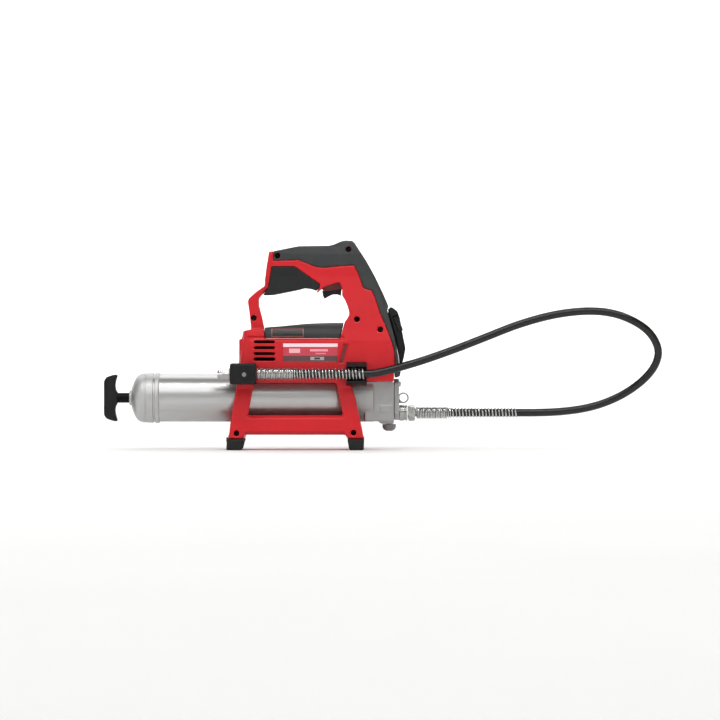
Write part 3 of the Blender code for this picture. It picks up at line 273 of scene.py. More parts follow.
def add(target, *tools):
    for tool in tools:
        combine(target, tool, "UNION")
    return target


def copy_of(node):
    """A copy of a CAD node's mesh with its points merged."""
    obj = bpy.data.objects.new(f"{node}_copy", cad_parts[node].data.copy())
    bpy.context.collection.objects.link(obj)
    pick(obj)
    edit_all()
    bpy.ops.mesh.remove_doubles(threshold=0.005 * MM)
    bpy.ops.object.mode_set(mode="OBJECT")
    return obj


def chamfer(obj, start, end, outward, depth, side):
    """Takes a corner off between two points of an outline: start and end are (x, half width, z)."""
    across, up = outward
    corners = []
    for x, half, z in (start, end):
        for out, wide in ((2, 2), (2, -depth), (0, -depth), (-depth, 0), (-depth, 2)):
            corners.append((x + across * out, side * (half + wide), z + up * out))
    return cut(obj, wedge(corners))


def soften(obj, grid, passes):
    """Rounds every corner, as a mould or a casting does: a fine even grid, relaxed a few times."""
    modified(obj, "REMESH", mode="VOXEL", voxel_size=grid)
    modified(obj, "SMOOTH", factor=0.5, iterations=passes)
    triangles = 2 * len(obj.data.polygons)
    if triangles > MOST_TRIANGLES:
        modified(obj, "DECIMATE", ratio=MOST_TRIANGLES / triangles)
    return obj


def bevelled(obj, width, segments=2, angle=35):
    """Rounds the edges that turn more than the angle, in degrees; width is in millimetres."""
    sharp = {"limit_method": "ANGLE", "angle_limit": math.radians(angle)}
    return modified(obj, "BEVEL", width=width * MM, segments=segments, **sharp)


def settle(obj, name, body, slot, material, nodes=()):
    """Names a finished piece, shades it, gives it its material and hangs it on its body."""
    obj.name = name
    obj.data.name = name
    if obj.type == "MESH":
        pick(obj)
        bpy.ops.object.shade_smooth_by_angle(angle=SMOOTH_BELOW)
    obj.data.materials.clear()
    obj.data.materials.append(material)
    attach(obj, body)
    if nodes:
        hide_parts(*nodes)
    return obj


def softened(node, grid, passes, *finish):
    """A softened copy of a CAD node that takes its place; finish is its name, body, slot and material, and
    the slot is not used.
    """
    return settle(soften(copy_of(node), grid, passes), *finish, [node])


def smooth_points(points, step):
    """Points a step apart along a smooth curve through the points given."""
    knots = [Vector(point) for point in points]
    padded = [2 * knots[0] - knots[1]] + knots + [2 * knots[-1] - knots[-2]]
    fine = []
    for a, b, c, d in zip(padded, padded[1:], padded[2:], padded[3:]):
        for k in range(CURVE_STEPS):
            t = k / CURVE_STEPS
            bend = (2 * a - 5 * b + 4 * c - d) * (t * t / 2) + (3 * b - a - 3 * c + d) * (t * t * t / 2)
            fine.append(b + (c - a) * (t / 2) + bend)
    fine.append(knots[-1])
    lengths = [(q - p).length for p, q in zip(fine, fine[1:])]
    spacing = sum(lengths) / round(sum(lengths) / step)
    spaced = [fine[0]]
    run = 0.0
    for start, end, part in zip(fine, fine[1:], lengths):
        while run + part >= spacing * len(spaced) and len(spaced) < round(sum(lengths) / spacing):
            spaced.append(start.lerp(end, (spacing * len(spaced) - run) / part))
        run += part
    return spaced + [fine[-1]]


def wire_curve(name, points, radius, resolution):
    """A round wire or tube along the points, in scene places, with closed ends."""
    curve = bpy.data.curves.new(name, "CURVE")
    curve.dimensions = "3D"
    curve.bevel_depth = radius
    curve.bevel_resolution = resolution
    curve.use_fill_caps = True
    spline = curve.splines.new("POLY")
    spline.points.add(len(points) - 1)
    for point, place in zip(spline.points, points):
        point.co = (*place, 1.0)
    obj = bpy.data.objects.new(name, curve)
    bpy.context.collection.objects.link(obj)
    return obj


def coil(name, start, stretches, y, z, wire):
    """A helical spring along X: each stretch is its end, its pitch and its outer radius there."""
    points = []
    angle = 0.0
    x = start
    radius = stretches[0][2]
    for end, pitch, end_radius in stretches:
        first_x = x
        first_radius = radius
        while x < end:
            share = (x - first_x) / (end - first_x)
            radius = first_radius + (end_radius - first_radius) * share
            middle = radius - wire / 2 / MM
            points.append(spot(x, y + middle * math.cos(angle), z + middle * math.sin(angle)))
            angle += math.tau / TURN_STEPS
            x += pitch / TURN_STEPS
        radius = end_radius
    obj = wire_curve(name, points, wire / 2, 1)
    pick(obj)
    bpy.ops.object.convert(target="MESH")
    return bpy.context.object


# ---- materials


def add_node(tree, kind, inputs=(), **settings):
    """Adds a node. Inputs are pairs of a socket's name or number and a value or another node's output."""
    node = tree.nodes.new(kind)
    for key, value in settings.items():
        setattr(node, key, value)
    for key, value in inputs:
        if isinstance(value, bpy.types.NodeSocket):
            tree.links.new(value, node.inputs[key])
        else:
            node.inputs[key].default_value = value
    return node


def new_material(name, **sockets):
    """A material with those values on its shader's own sockets. Gives its node tree and its shader."""
    material = bpy.data.materials.new(name)
    material.use_nodes = True
    shader = material.node_tree.nodes["Principled BSDF"]
    for socket, value in sockets.items():
        shader.inputs[socket.replace("_", " ")].default_value = value
    return material.node_tree, shader


def unevenness(tree, size, detail, stretch):
    """Soft patches of that size in millimetres, from 0 to 1, drawn out where stretch is below 1."""
    place = add_node(tree, "ShaderNodeTexCoord").outputs["Object"]
    place = add_node(tree, "ShaderNodeMapping", [("Vector", place), ("Scale", stretch)]).outputs["Vector"]
    inputs = [("Vector", place), ("Scale", 1 / (size * MM)), ("Detail", detail)]
    return add_node(tree, "ShaderNodeTexNoise", inputs).outputs["Fac"]


def tone(tree, shader, colour, spread, size, stretch=(1, 1, 1)):
    """Colour that drifts a little lighter and darker over patches of that size, in millimetres."""
    patches = unevenness(tree, size, 3.0, stretch)
    ramp = add_node(tree, "ShaderNodeValToRGB", [("Fac", patches)])
    for element, place, factor in zip(ramp.color_ramp.elements, (0.3, 0.7), (1 - spread, 1 + spread)):
        element.position = place
        element.color = (*[min(1.0, c * factor) for c in colour], 1.0)
    tree.links.new(ramp.outputs["Color"], shader.inputs["Base Color"])


def relief(tree, shader, size, depth, gloss, stretch=(1, 1, 1)):
    """Bumps of that size and depth in millimetres, duller and shinier between the two values of gloss."""
    height = unevenness(tree, size, 2.0, stretch)
    inputs = [("Value", height), ("To Min", gloss[0]), ("To Max", gloss[1])]
    dull = add_node(tree, "ShaderNodeMapRange", inputs)
    tree.links.new(dull.outputs["Result"], shader.inputs["Roughness"])
    inputs = [("Height", height), ("Distance", depth * MM), ("Strength", 0.8)]
    bump = add_node(tree, "ShaderNodeBump", inputs)
    tree.links.new(bump.outputs["Normal"], shader.inputs["Normal"])


def edge_wear_and_highlight(tree, shader, colour, amount):
    """Lighter where the surface turns a sharp corner: partly wear where hands and benches rub it, partly a
    painted highlight along the edges.
    """
    point = add_node(tree, "ShaderNodeNewGeometry").outputs["Pointiness"]
    inputs = [("Value", point), ("From Min", 0.52), ("From Max", 0.62), ("To Max", amount)]
    share = add_node(tree, "ShaderNodeMapRange", inputs).outputs["Result"]
    base = shader.inputs["Base Color"].links[0].from_socket
    mix = add_node(tree, "ShaderNodeMix", [(0, share), (6, base), (7, (*colour, 1.0))], data_type="RGBA")
    tree.links.new(mix.outputs[2], shader.inputs["Base Color"])


def moulded_nylon(name, colour):
    """Glass-filled nylon, moulded with a light spark texture: even colour, satin with a fine grain."""
    tree, shader = new_material(name, Specular_IOR_Level=0.35, Coat_Weight=0.05)
    tone(tree, shader, colour, 0.05, 35.0)
    # The real grain is about 0.2 mm; it is drawn at 0.8 mm so that it shows.
    relief(tree, shader, 0.8, 0.02, (0.3, 0.42))
    # Sharp edges lighter: partly wear, partly a painted highlight along them
    edge_wear_and_highlight(tree, shader, [min(1.0, c * 1.5 + 0.06) for c in colour], 0.35)


def soft_overmould(name, colour, gloss):
    """Thermoplastic rubber, moulded over the nylon: soft and dull, with a pebbled skin."""
    tree, shader = new_material(name, Specular_IOR_Level=0.25)
    tone(tree, shader, colour, 0.08, 25.0)
    # Pebbles of 0.5 mm, drawn at 1.1 mm so that they show.
    relief(tree, shader, 1.1, 0.06, gloss)


def black_nylon(name, colour):
    """Unfilled nylon, moulded in a blasted tool: near black, satin, with a faint grain."""
    tree, shader = new_material(name, Specular_IOR_Level=0.25)
    tone(tree, shader, colour, 0.12, 14.0)
    relief(tree, shader, 0.7, 0.03, (0.36, 0.5))
    # Sharp edges lighter: partly wear, partly a painted highlight along them
    edge_wear_and_highlight(tree, shader, [c * 3 + 0.02 for c in colour], 0.4)


def lacquered_tube(name, colour):
    """Drawn steel tube under silver lacquer: soft bands of light along it and faint drawing lines."""
    tree, shader = new_material(name, Metallic=0.85, Coat_Weight=0.3, Coat_Roughness=0.12)
    tone(tree, shader, colour, 0.03, 5.0, (0.05, 1, 1))
    relief(tree, shader, 0.9, 0.008, (0.26, 0.36), (0.04, 1, 1))


def spun_cap(name, colour):
    """Pressed and spun steel under silver lacquer: matter than the tube, with faint rings round it."""
    tree, shader = new_material(name, Metallic=0.75, Coat_Weight=0.1, Coat_Roughness=0.3)
    tone(tree, shader, colour, 0.04, 6.0)
    relief(tree, shader, 1.0, 0.012, (0.42, 0.52), (1, 0.06, 0.06))


def die_casting(name, colour):
    """Die-cast zinc alloy, shot-blasted: grey and matt, with a fine sandy grain."""
    tree, shader = new_material(name, Metallic=0.55)
    tone(tree, shader, colour, 0.07, 16.0)
    # Blasting leaves a 0.3 mm grain, drawn at 0.9 mm so that it shows.
    relief(tree, shader, 0.9, 0.05, (0.42, 0.6))
    # Sharp edges lighter: partly wear, partly a painted highlight along them
    edge_wear_and_highlight(tree, shader, [min(1.0, c * 1.6) for c in colour], 0.5)


def shiny_steel(name, colour, gloss=(0.2, 0.32)):
    """Turned or drawn steel, zinc plated, blackened or bare: cool and shiny, its gloss broken by handling."""
    tree, shader = new_material(name, Metallic=1.0)
    tone(tree, shader, colour, 0.08, 4.0)
    relief(tree, shader, 1.5, 0.003, gloss)


def hose_cover(name, colour):
    """Extruded thermoplastic hose cover: glossy black, so a soft light draws one clean line along it."""
    sockets = {"Specular_IOR_Level": 0.15, "Coat_Weight": 0.6, "Coat_Roughness": 0.08}
    tree, shader = new_material(name, **sockets)
    tone(tree, shader, colour, 0.2, 12.0)
    relief(tree, shader, 6.0, 0.005, (0.16, 0.2))


def axes_of(tree):
    """The piece's own x, y and z, as three outputs."""
    place = add_node(tree, "ShaderNodeTexCoord").outputs["Object"]
    return add_node(tree, "ShaderNodeSeparateXYZ", [("Vector", place)])


def bar_over(tree, axes, under, middle, half_x, half_z, code):
    """A flat printed bar over the colour under it; middle and halves are in metres."""
    inside = []
    for letter, half in (("X", half_x), ("Z", half_z)):
        inputs = [(0, axes.outputs[letter]), (1, getattr(middle, letter.lower())), (2, half)]
        inside.append(add_node(tree, "ShaderNodeMath", inputs, operation="COMPARE").outputs[0])
    both = add_node(tree, "ShaderNodeMath", enumerate(inside), operation="MULTIPLY").outputs[0]
    inputs = [(0, both), (6, under), (7, (*linear(code), 1.0))]
    return add_node(tree, "ShaderNodeMix", inputs, data_type="RGBA").outputs[2]


def printed_label(name):
    """Printed polyester film under gloss varnish: a pale band, a red field, plain bars and a dark foot."""
    tree, shader = new_material(name, IOR=1.49, Coat_Weight=0.4, Coat_Roughness=0.1, Roughness=0.3)
    low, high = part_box("label_plate")
    axes = axes_of(tree)
    inputs = [("Value", axes.outputs["Z"]), ("From Min", low.z), ("From Max", high.z)]
    height = add_node(tree, "ShaderNodeMapRange", inputs).outputs["Result"]
    ramp = add_node(tree, "ShaderNodeValToRGB", [("Fac", height)])
    ramp.color_ramp.interpolation = "CONSTANT"
    bands = ((0.0, "#B01F2C"), (0.06, "#5A2A2E"), (0.34, "#C9384A"), (0.78, "#8E1B28"), (0.81, "#F6D9DC"))
    for position, code in bands[2:]:
        ramp.color_ramp.elements.new(position)
    for element, (position, code) in zip(ramp.color_ramp.elements, bands):
        element.position = position
        element.color = (*linear(code), 1.0)
    colour = ramp.outputs["Color"]
    bars = (
        (45.5, 6.5, 116.4, 2.6, "#F4B4BC"),
        (74.0, 10.5, 117.0, 1.3, "#F0A0AA"),
        (76.0, 6.0, 113.2, 0.7, "#E88A96"),
        (72.0, 8.0, 107.4, 1.9, "#A8A4A4"),
        (72.0, 3.4, 107.4, 1.2, "#2A2022"),
    )
    for middle_x, half_x, middle_z, half_z, code in bars:
        colour = bar_over(tree, axes, colour, spot(middle_x, 0, middle_z), half_x * MM, half_z * MM, code)
    tree.links.new(colour, shader.inputs["Base Color"])


def badge_print(name):
    """Printed aluminium badge: a dark plate with a thin bronze-red border and two plain bars."""
    tree, shader = new_material(name, Metallic=0.3, Coat_Weight=0.3, Roughness=0.35)
    low = spot(BADGE_X[0], 0, 132.6)
    high = spot(BADGE_X[1], 0, 143.6)
    axes = axes_of(tree)
    colour = (*linear("#7E4A46"), 1.0)
    bars = ((1.2, "#1B1718"), (4.4, "#4B2C2B"), (5.0, "#151213"))
    for margin, code in bars:
        half = (high - low) / 2 - Vector((margin, 0, min(margin, 4.5))) * MM
        colour = bar_over(tree, axes, colour, (low + high) / 2, half.x, half.z, code)
    tree.links.new(colour, shader.inputs["Base Color"])


def circuit_board(name):
    """Glass-epoxy board under green solder mask: glossy green with a weave that just shows."""
    tree, shader = new_material(name, IOR=1.55, Coat_Weight=0.5)
    tone(tree, shader, linear("#1D6B3A"), 0.3, 3.0)
    relief(tree, shader, 1.2, 0.02, (0.3, 0.4))


def turned_brass(name):
    """Free-cutting brass, turned: warm yellow and bright, with fine tool rings."""
    tree, shader = new_material(name, Metallic=1.0)
    tone(tree, shader, linear("#C9A050"), 0.1, 3.0)
    relief(tree, shader, 0.8, 0.01, (0.22, 0.34))


def finishes():
    """Every material of the tool, made once and found again by its name."""
    made = bpy.data.materials
    if "nylon_moulded_red" in made:
        return made
    c = colours()
    moulded_nylon("nylon_moulded_red", c.red)
    # A dark copy of the red: painted shade for the floors of the slanted recess and of the well over the
    # trigger
    moulded_nylon("nylon_red_painted_shade", [value * 0.2 for value in c.red])
    soft_overmould("rubber_overmould_grey", c.grey, (0.42, 0.56))
    soft_overmould("rubber_overmould_grip", c.grip, (0.6, 0.78))
    soft_overmould("rubber_foot", linear("#1D1F1E"), (0.55, 0.72))
    black_nylon("nylon_moulded_black", c.black)
    lacquered_tube("steel_tube_lacquered", c.silver)
    spun_cap("steel_spun_lacquered", c.silver)
    die_casting("zinc_die_cast", c.casting)
    die_casting("zinc_die_cast_dark", linear("#7C7C7B"))
    shiny_steel("steel_zinc_plated", c.steel)
    shiny_steel("steel_spring_bright", linear("#C2C2C0"), (0.2, 0.28))
    shiny_steel("steel_black_oxide", linear("#1C1C1D"), (0.25, 0.38))
    shiny_steel("steel_hardened", linear("#8D8E90"), (0.25, 0.4))
    hose_cover("rubber_extruded_black", c.hose)
    printed_label("film_printed_label")
    badge_print("aluminium_printed_badge")
    circuit_board("epoxy_board_green")
    turned_brass("brass_turned")
    return made


# ---- stage


class GUN_OT_stage(Operator):
    """Pale sweep, soft studio lights and the camera square to the tool's near side"""

    bl_idname = "gun.make_stage"
    bl_label = "Stage"

    def execute(self, context):
        make_camera()
        make_backdrop()
        make_lights()
        return {"FINISHED"}


FRAME_CENTRE = (122.1, 0.0, 105.6)


def make_camera():
    """The camera, level and square to the near side, with the tool's middle plane filling its width."""
    distance = sizes().camera_distance
    sensor = 36.0
    bpy.ops.object.camera_add(
        location=spot(*FRAME_CENTRE) + Vector((0, -distance, 0)), rotation=(math.radians(90), 0, 0)
    )
    camera = bpy.context.object
    camera.name = "camera"
    camera.data.sensor_width = sensor
    camera.data.lens = sensor * distance / sizes().frame_width
    camera.data.clip_end = 50.0
    bpy.context.scene.camera = camera


def make_backdrop():
    """A seamless round sweep: a floor that curves up well behind the tool on every side."""
    radius, height = 7.0, 4.5
    bpy.ops.mesh.primitive_circle_add(vertices=96, radius=radius, fill_type="NGON", location=(0, 0, 0))
    sweep = bpy.context.object
    sweep.name = "backdrop"
    edit_all()
    bpy.ops.mesh.extrude_region_move(TRANSFORM_OT_translate={"value": (0, 0, height)})
    bpy.ops.mesh.delete(type="ONLY_FACE")
    bpy.ops.object.mode_set(mode="OBJECT")
    bevelled(sweep, 1400.0, 12, 60)
    pick(sweep)
    bpy.ops.object.shade_smooth()
    tree, shader = new_material("paper_sweep_white", Roughness=0.9)
    tone(tree, shader, linear("#F4F4F3"), 0.01, 400.0)
    sweep.data.materials.append(bpy.data.materials["paper_sweep_white"])


def soft_light(name, place, aim, width, height, power):
    """A softbox that shines from one place towards another."""
    bpy.ops.object.light_add(type="AREA", location=place)
    light = bpy.context.object
    light.name = name
    light.data.shape = "RECTANGLE"
    light.data.size = width
    light.data.size_y = height
    light.data.energy = power
    light.rotation_euler = (Vector(aim) - Vector(place)).to_track_quat("-Z", "Y").to_euler()
    light.visible_camera = False


def make_lights():
    """High softboxes over the tool and a low one at its left, with more light on the sweep behind it."""
    aim = (0.1, 0.0, 0.1)
    soft_light("light_strip", (0.1, -0.9, 2.1), (0.1, -0.1, 0.1), 3.4, 0.14, 26.0)
    soft_light("light_floor", (0.1, -3.6, 3.0), (0.1, -3.2, 0.0), 5.0, 3.0, 92.0)
    soft_light("light_far", (0.1, 2.6, 3.0), (0.1, 2.8, 0.0), 6.0, 3.2, 110.0)
    soft_light("light_left", (-2.2, -1.6, 1.1), aim, 0.9, 1.5, 7.0)
    soft_light("light_wall", (0.1, 4.6, 3.0), (0.1, 7.0, 0.6), 6.0, 1.2, 150.0)
    world = bpy.data.worlds.new("studio")
    bpy.context.scene.world = world
    world.use_nodes = True
    background = world.node_tree.nodes["Background"].inputs
    background["Color"].default_value = (1.0, 1.0, 1.0, 1.0)
    background["Strength"].default_value = 0.16
    bpy.context.scene.view_settings.view_transform = "Standard"


# ---- hose


class GUN_OT_hose(Operator):
    """High-pressure hose with its spring guards, swivel nut and grease coupler"""

    bl_idname = "gun.make_hose"
    bl_label = "Hose and fittings"

    def execute(self, context):
        material = finishes()
        wire = sizes().wire
        pitch = sizes().open_pitch / MM
        close = wire / MM * 1.12
        finish = ("housing", "spring_steel", material["steel_spring_bright"])
        radius = half_size("hose_guard_near", Z)
        # Each guard is wound close by its fitting and open towards the loop
        start = GUARD_LEFT_X + 1
        end = limits("hose_guard_near")[X][1] - 1
        stretches = [(start + 42, close, radius), (start + 52, pitch * 0.8, radius), (end, pitch, radius)]
        near = coil("guard_spring_near", start, stretches, HOSE_Y, HOSE_Z, wire)
        settle(near, near.name, *finish, ["hose_guard_near"])
        left, right = limits("hose_guard_outlet")[X]
        start = left + 1
        tip = 6.3
        stretches = [(start + 36, close, radius), (start + 42, close * 1.4, tip + 0.2)]
        stretches += [(right - 1, pitch, tip)]
        outlet = coil("guard_spring_outlet", start, stretches, 0.0, OUTLET_Z, wire)
        settle(outlet, outlet.name, *finish, ["hose_guard_outlet"])
        nut = make_nut(material)
        coupler = make_coupler(material)
        make_hose(material)
        return {"FINISHED"}


def make_hose(material):
    """The hose: straight inside each guard, and along its loop between them."""
    guarded = 60.0
    exit_x, end_x = limits("hose_guard_outlet")[X]
    near_x = limits("hose_guard_near")[X][1]
    route = [(x, 0.0, OUTLET_Z) for x in (exit_x, end_x - guarded, end_x)]
    route += HOSE_ROUTE
    route += [(x, HOSE_Y, HOSE_Z) for x in (near_x, near_x - guarded, GUARD_LEFT_X)]
    points = [spot(*point) for point in smooth_points(route, 5.0)]
    hose = wire_curve("hose_tube", points, HOSE_DIAMETER / 2 * MM, 6)
    settle(hose, "hose_tube", "housing", "hose_black", material["rubber_extruded_black"], ["hose"])


def make_nut(material):
    """A hexagon nut with its corners turned off at both ends."""
    flats = half_size("coupler_nut", Y)
    left, right = limits("coupler_nut")[X]
    corner = flats / math.cos(math.radians(30))
    points = [
        (corner * math.sin(math.radians(a)), OUTLET_Z + corner * math.cos(math.radians(a)))
        for a in CORNERS_OF_SIX
    ]
    nut = prism(points, "X", left, right)
    limit = [(left, flats - 0.3), (left + 1.4, corner), (right - 1.4, corner), (right, flats - 0.3)]
    combine(nut, turned(limit, (0, 0, OUTLET_Z)), "INTERSECT")
    bevelled(nut, 0.25)
    finish = ("swivel_nut", "housing", "bright_steel", material["steel_zinc_plated"])
    return settle(nut, *finish, ["coupler_nut"])


def make_coupler(material):
    """The grease coupler: a hexagon sleeve with four jaws at its tip and a grooved collar."""
    left, right = limits("hose_coupler")[X]
    radius = half_size("hose_coupler", Z)
    centre = (0, HOSE_Y, HOSE_Z)
    body = [(left + 13.0, 6.0), (left + 14.0, radius - 0.2), (left + 17.5, radius - 0.2)]
    body += [(left + 18.0, radius - 1.0), (left + 19.5, radius - 1.0), (left + 20.0, radius - 0.2)]
    body += [(right, radius - 0.2)]
    coupler = turned(body, centre)
    flats = 5.7
    corner = flats / math.cos(math.radians(30))
    points = [
        (HOSE_Y + corner * math.cos(math.radians(a)), HOSE_Z + corner * math.sin(math.radians(a)))
        for a in CORNERS_OF_SIX
    ]
    sleeve = prism(points, "X", left, left + 14.0)
    limit = [(left, flats - 1.6), (left + 2.0, flats), (left + 3.5, corner), (left + 14.0, corner)]
    combine(sleeve, turned(limit, centre), "INTERSECT")
    cut(sleeve, rod("X", centre, 2.6, left - 1, left + 6))
    for half_y, half_z in ((9.0, 0.45), (0.45, 9.0)):
        y = (HOSE_Y - half_y, HOSE_Y + half_y)
        cut(sleeve, block((left - 1, left + 5.0), y, (HOSE_Z - half_z, HOSE_Z + half_z)))
    add(coupler, sleeve)
    bevelled(coupler, 0.2)
    finish = ("grease_coupler", "housing", "bright_steel", material["steel_zinc_plated"])
    return settle(coupler, *finish, ["hose_coupler"])


# ---- shell


class GUN_OT_shell(Operator):
    """The two red halves of the clamshell, with rounded corners, sill, ledge and vents"""

    bl_idname = "gun.make_shell"
    bl_label = "Shell"

    def execute(self, context):
        material = finishes()["nylon_red_painted_shade"]
        for side, name, node in ((-1, "near", "housing_near"), (1, "far", "housing_far")):
            make_half(side, node)
            # Painted shade: darker floors of the slanted recess and of the well over the trigger
            slash = [(97.6, 101.6), (102.5, 101.6), (108.4, 124.4), (103.5, 124.4)]
            floor = prism(slash, "Y", *between(side, BODY_HALF - 2.4, BODY_HALF - 1.6))
            settle(floor, f"slash_floor_{name}", "housing", "red_shell", material)
            outline = [(75.5, 190.5), (80, 186.5), (104, 189.5), (104, 203), (84, 201)]
            well = prism(outline, "Y", *between(side, 7.2, 9.2))
            settle(well, f"trigger_well_{name}", "housing", "red_shell", material)
        return {"FINISHED"}


def between(side, inner, outer):
    """Two distances from the middle plane, as y on the near side (-1) or the far side (1), lowest first."""
    return sorted((side * inner, side * outer))


def make_half(side, node):
    """One half of the shell, its ledges chamfered, its rear corner rounded and its slots cut."""
    half = copy_of(node)
    # Ledge along the body's top, the window's sill and the underside of the stand's bar
    chamfer(half, (-19, BODY_HALF, 131.2), (104, BODY_HALF, 131.2), (0, 1), 3.4, side)
    chamfer(half, (-9.5, 37.6, 41), (102.5, 37.6, 41), (0, 1), 4.2, side)
    chamfer(half, (-13, 39.8, 18), (105, 39.8, 18), (0, -1), 4.6, side)
    # The body's rear corner turns in a wide round: backed inside, then cut to three flats and softened
    backing = [(-20, 31), (-4.5, 31), (-4.5, 28), (-17, 15.5), (-20, 15.5)]
    add(half, prism([(x, side * y) for x, y in backing], "Z", 96, 130))
    for depth, reach in ((7.0, 7.0), (3.0, 10.5), (10.5, 3.0)):
        corners = []
        for x, z in ((-22.4, 80), (-17, 132), (-14.5, 142)):
            for along, wide in ((-3, 3), (reach, 0.01), (reach, 3), (-0.01, -depth), (-3, -depth)):
                corners.append((x + along, side * (BODY_HALF + wide), z))
        cut(half, wedge(corners))
    # Vents, and moulding slots over and under the label
    slots = [((-2.6, 22.6), z, 1.6, 8) for z in (127.0, 120.0, 113.0, 106.5)]
    slots += [((52, 60), z, 0.5, 1.2) for z in (125.7, 101.0)]
    for x, z, half_height, depth in slots:
        y = between(side, BODY_HALF - depth, BODY_HALF + 5)
        cut(half, block(x, y, (z - half_height, z + half_height)))
    soften(half, sizes().edge, 4)
    settle(half, f"shell_{node[8:]}", "housing", "red_shell", finishes()["nylon_moulded_red"], [node])


# ---- grips and covers


class GUN_OT_grips(Operator):
    """Soft skins over and under the handle"""

    bl_idname = "gun.make_grips"
    bl_label = "Grips"

    def execute(self, context):
        top = copy_of("top_grip")
        for side in (-1, 1):
            chamfer(top, (141, 20.2, 204), (156, 25.0, 170), (0.9, 0.42), 6.0, side)
        soften(top, sizes().edge * 0.9, 6)
        finish = ("grip_skin_top", "housing", "soft_grey", finishes()["rubber_overmould_grey"])
        settle(top, *finish, ["top_grip"])
        finish = ("grip_skin_under", "housing", "soft_black", finishes()["rubber_overmould_grip"])
        softened("under_grip", sizes().edge * 0.8, 6, *finish)
        return {"FINISHED"}


class GUN_OT_cover(Operator):
    """Rounded motor cover with its blank badge, and the label on the near side"""

    bl_idname = "gun.make_cover"
    bl_label = "Motor cover and label"

    def execute(self, context):
        material = finishes()
        finish = ("motor_cover_skin", "housing", "soft_grey", material["rubber_overmould_grey"])
        softened("motor_cover", sizes().edge * 0.8, 5, *finish)
        make_badge(material)
        label = bevelled(block(*limits("label_plate")), 0.25)
        settle(label, "label_film", "housing", "label", material["film_printed_label"], ["label_plate"])
        return {"FINISHED"}


def make_badge(material):
    """A thin plate bent over the cover's near side: a slice of an arch a little larger than the cover."""
    over = 0.5
    half = half_size("motor_cover", Y) + over
    base = limits("motor_cover")[Z][0]
    rise = 18.6 + over
    arch = [
        (half * math.cos(math.radians(a)), base + rise * math.sin(math.radians(a)) ** 0.8)
        for a in range(0, 181, 5)
    ]
    plate = prism([(half, base - 3)] + arch + [(-half, base - 3)], "X", *BADGE_X)
    combine(plate, block((17, 57), (-30, -15), (132.6, 143.4)), "INTERSECT")
    settle(plate, "badge_blank", "housing", "label", material["aluminium_printed_badge"])


class GUN_OT_battery(Operator):
    """Battery pack with its two side latches"""

    bl_idname = "gun.make_battery"
    bl_label = "Battery"

    def execute(self, context):
        material = finishes()["nylon_moulded_black"]
        # A seal between the handle's heel and the battery, standing on the handle's side
        outline = [(155, 165.5), (157.6, 165.5), (162.6, 138), (165.8, 118), (167.6, 103), (166.6, 92)]
        outline += [(165, 92), (165.5, 103), (161, 138)]
        seal = prism(outline, "Y", -14, 14)
        settle(seal, "battery_seal", "housing", "soft_grey", finishes()["rubber_foot"])
        pack = copy_of("battery_pack")
        for side in (-1, 1):
            carve_pocket(pack, side)
        soften(pack, sizes().edge * 0.8, 5)
        settle(pack, "battery_case", "battery", "black_plastic", material, ["battery_pack"])
        for side in ("near", "far"):
            node = f"battery_latch_{side}"
            finish = (f"latch_{side}_pad", f"latch_{side}", "black_plastic", material)
            softened(node, sizes().fine_edge * 0.7, 3, *finish)
        return {"FINISHED"}


def carve_pocket(pack, side):
    """Room for a latch pad and its travel, swept inwards from where the pad stands."""
    node = "battery_latch_near" if side < 0 else "battery_latch_far"
    low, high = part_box(node)
    for travel in (-1.0, 0.7, 2.2, 3.4):
        tool = copy_of(node)
        edit_all()
        bpy.ops.transform.resize(value=(1.13, 1.0, 1.13), center_override=(low + high) / 2)
        bpy.ops.transform.translate(value=(0, -side * travel * MM, 0))
        bpy.ops.object.mode_set(mode="OBJECT")
        cut(pack, tool)


class GUN_OT_trigger(Operator):
    """Trigger with rounded edges"""

    bl_idname = "gun.make_trigger"
    bl_label = "Trigger"

    def execute(self, context):
        finish = ("trigger_lever", "trigger", "black_plastic", finishes()["nylon_moulded_black"])
        softened("trigger", sizes().fine_edge * 0.8, 4, *finish)
        return {"FINISHED"}


# ---- barrel and plunger


class GUN_OT_barrel(Operator):
    """Lacquered barrel tube with its spun cap"""

    bl_idname = "gun.make_barrel"
    bl_label = "Barrel"

    def execute(self, context):
        material = finishes()
        axis = (0, 0, AXIS_Z)
        left, right = limits("barrel_tube")[X]
        outer = BARREL_RADIUS
        bore = outer - TUBE_WALL
        profile = [(left, bore + 0.6), (left + 0.6, outer), (right - 0.8, outer), (right, outer - 0.6)]
        tube = turned(profile, axis, "X", 96)
        cut(tube, rod("X", axis, bore, left - 2, right + 2, 64))
        finish = ("barrel_sleeve", "barrel", "barrel_silver", material["steel_tube_lacquered"])
        settle(tube, *finish, ["barrel_tube"])
        make_cap(axis, material)
        return {"FINISHED"}


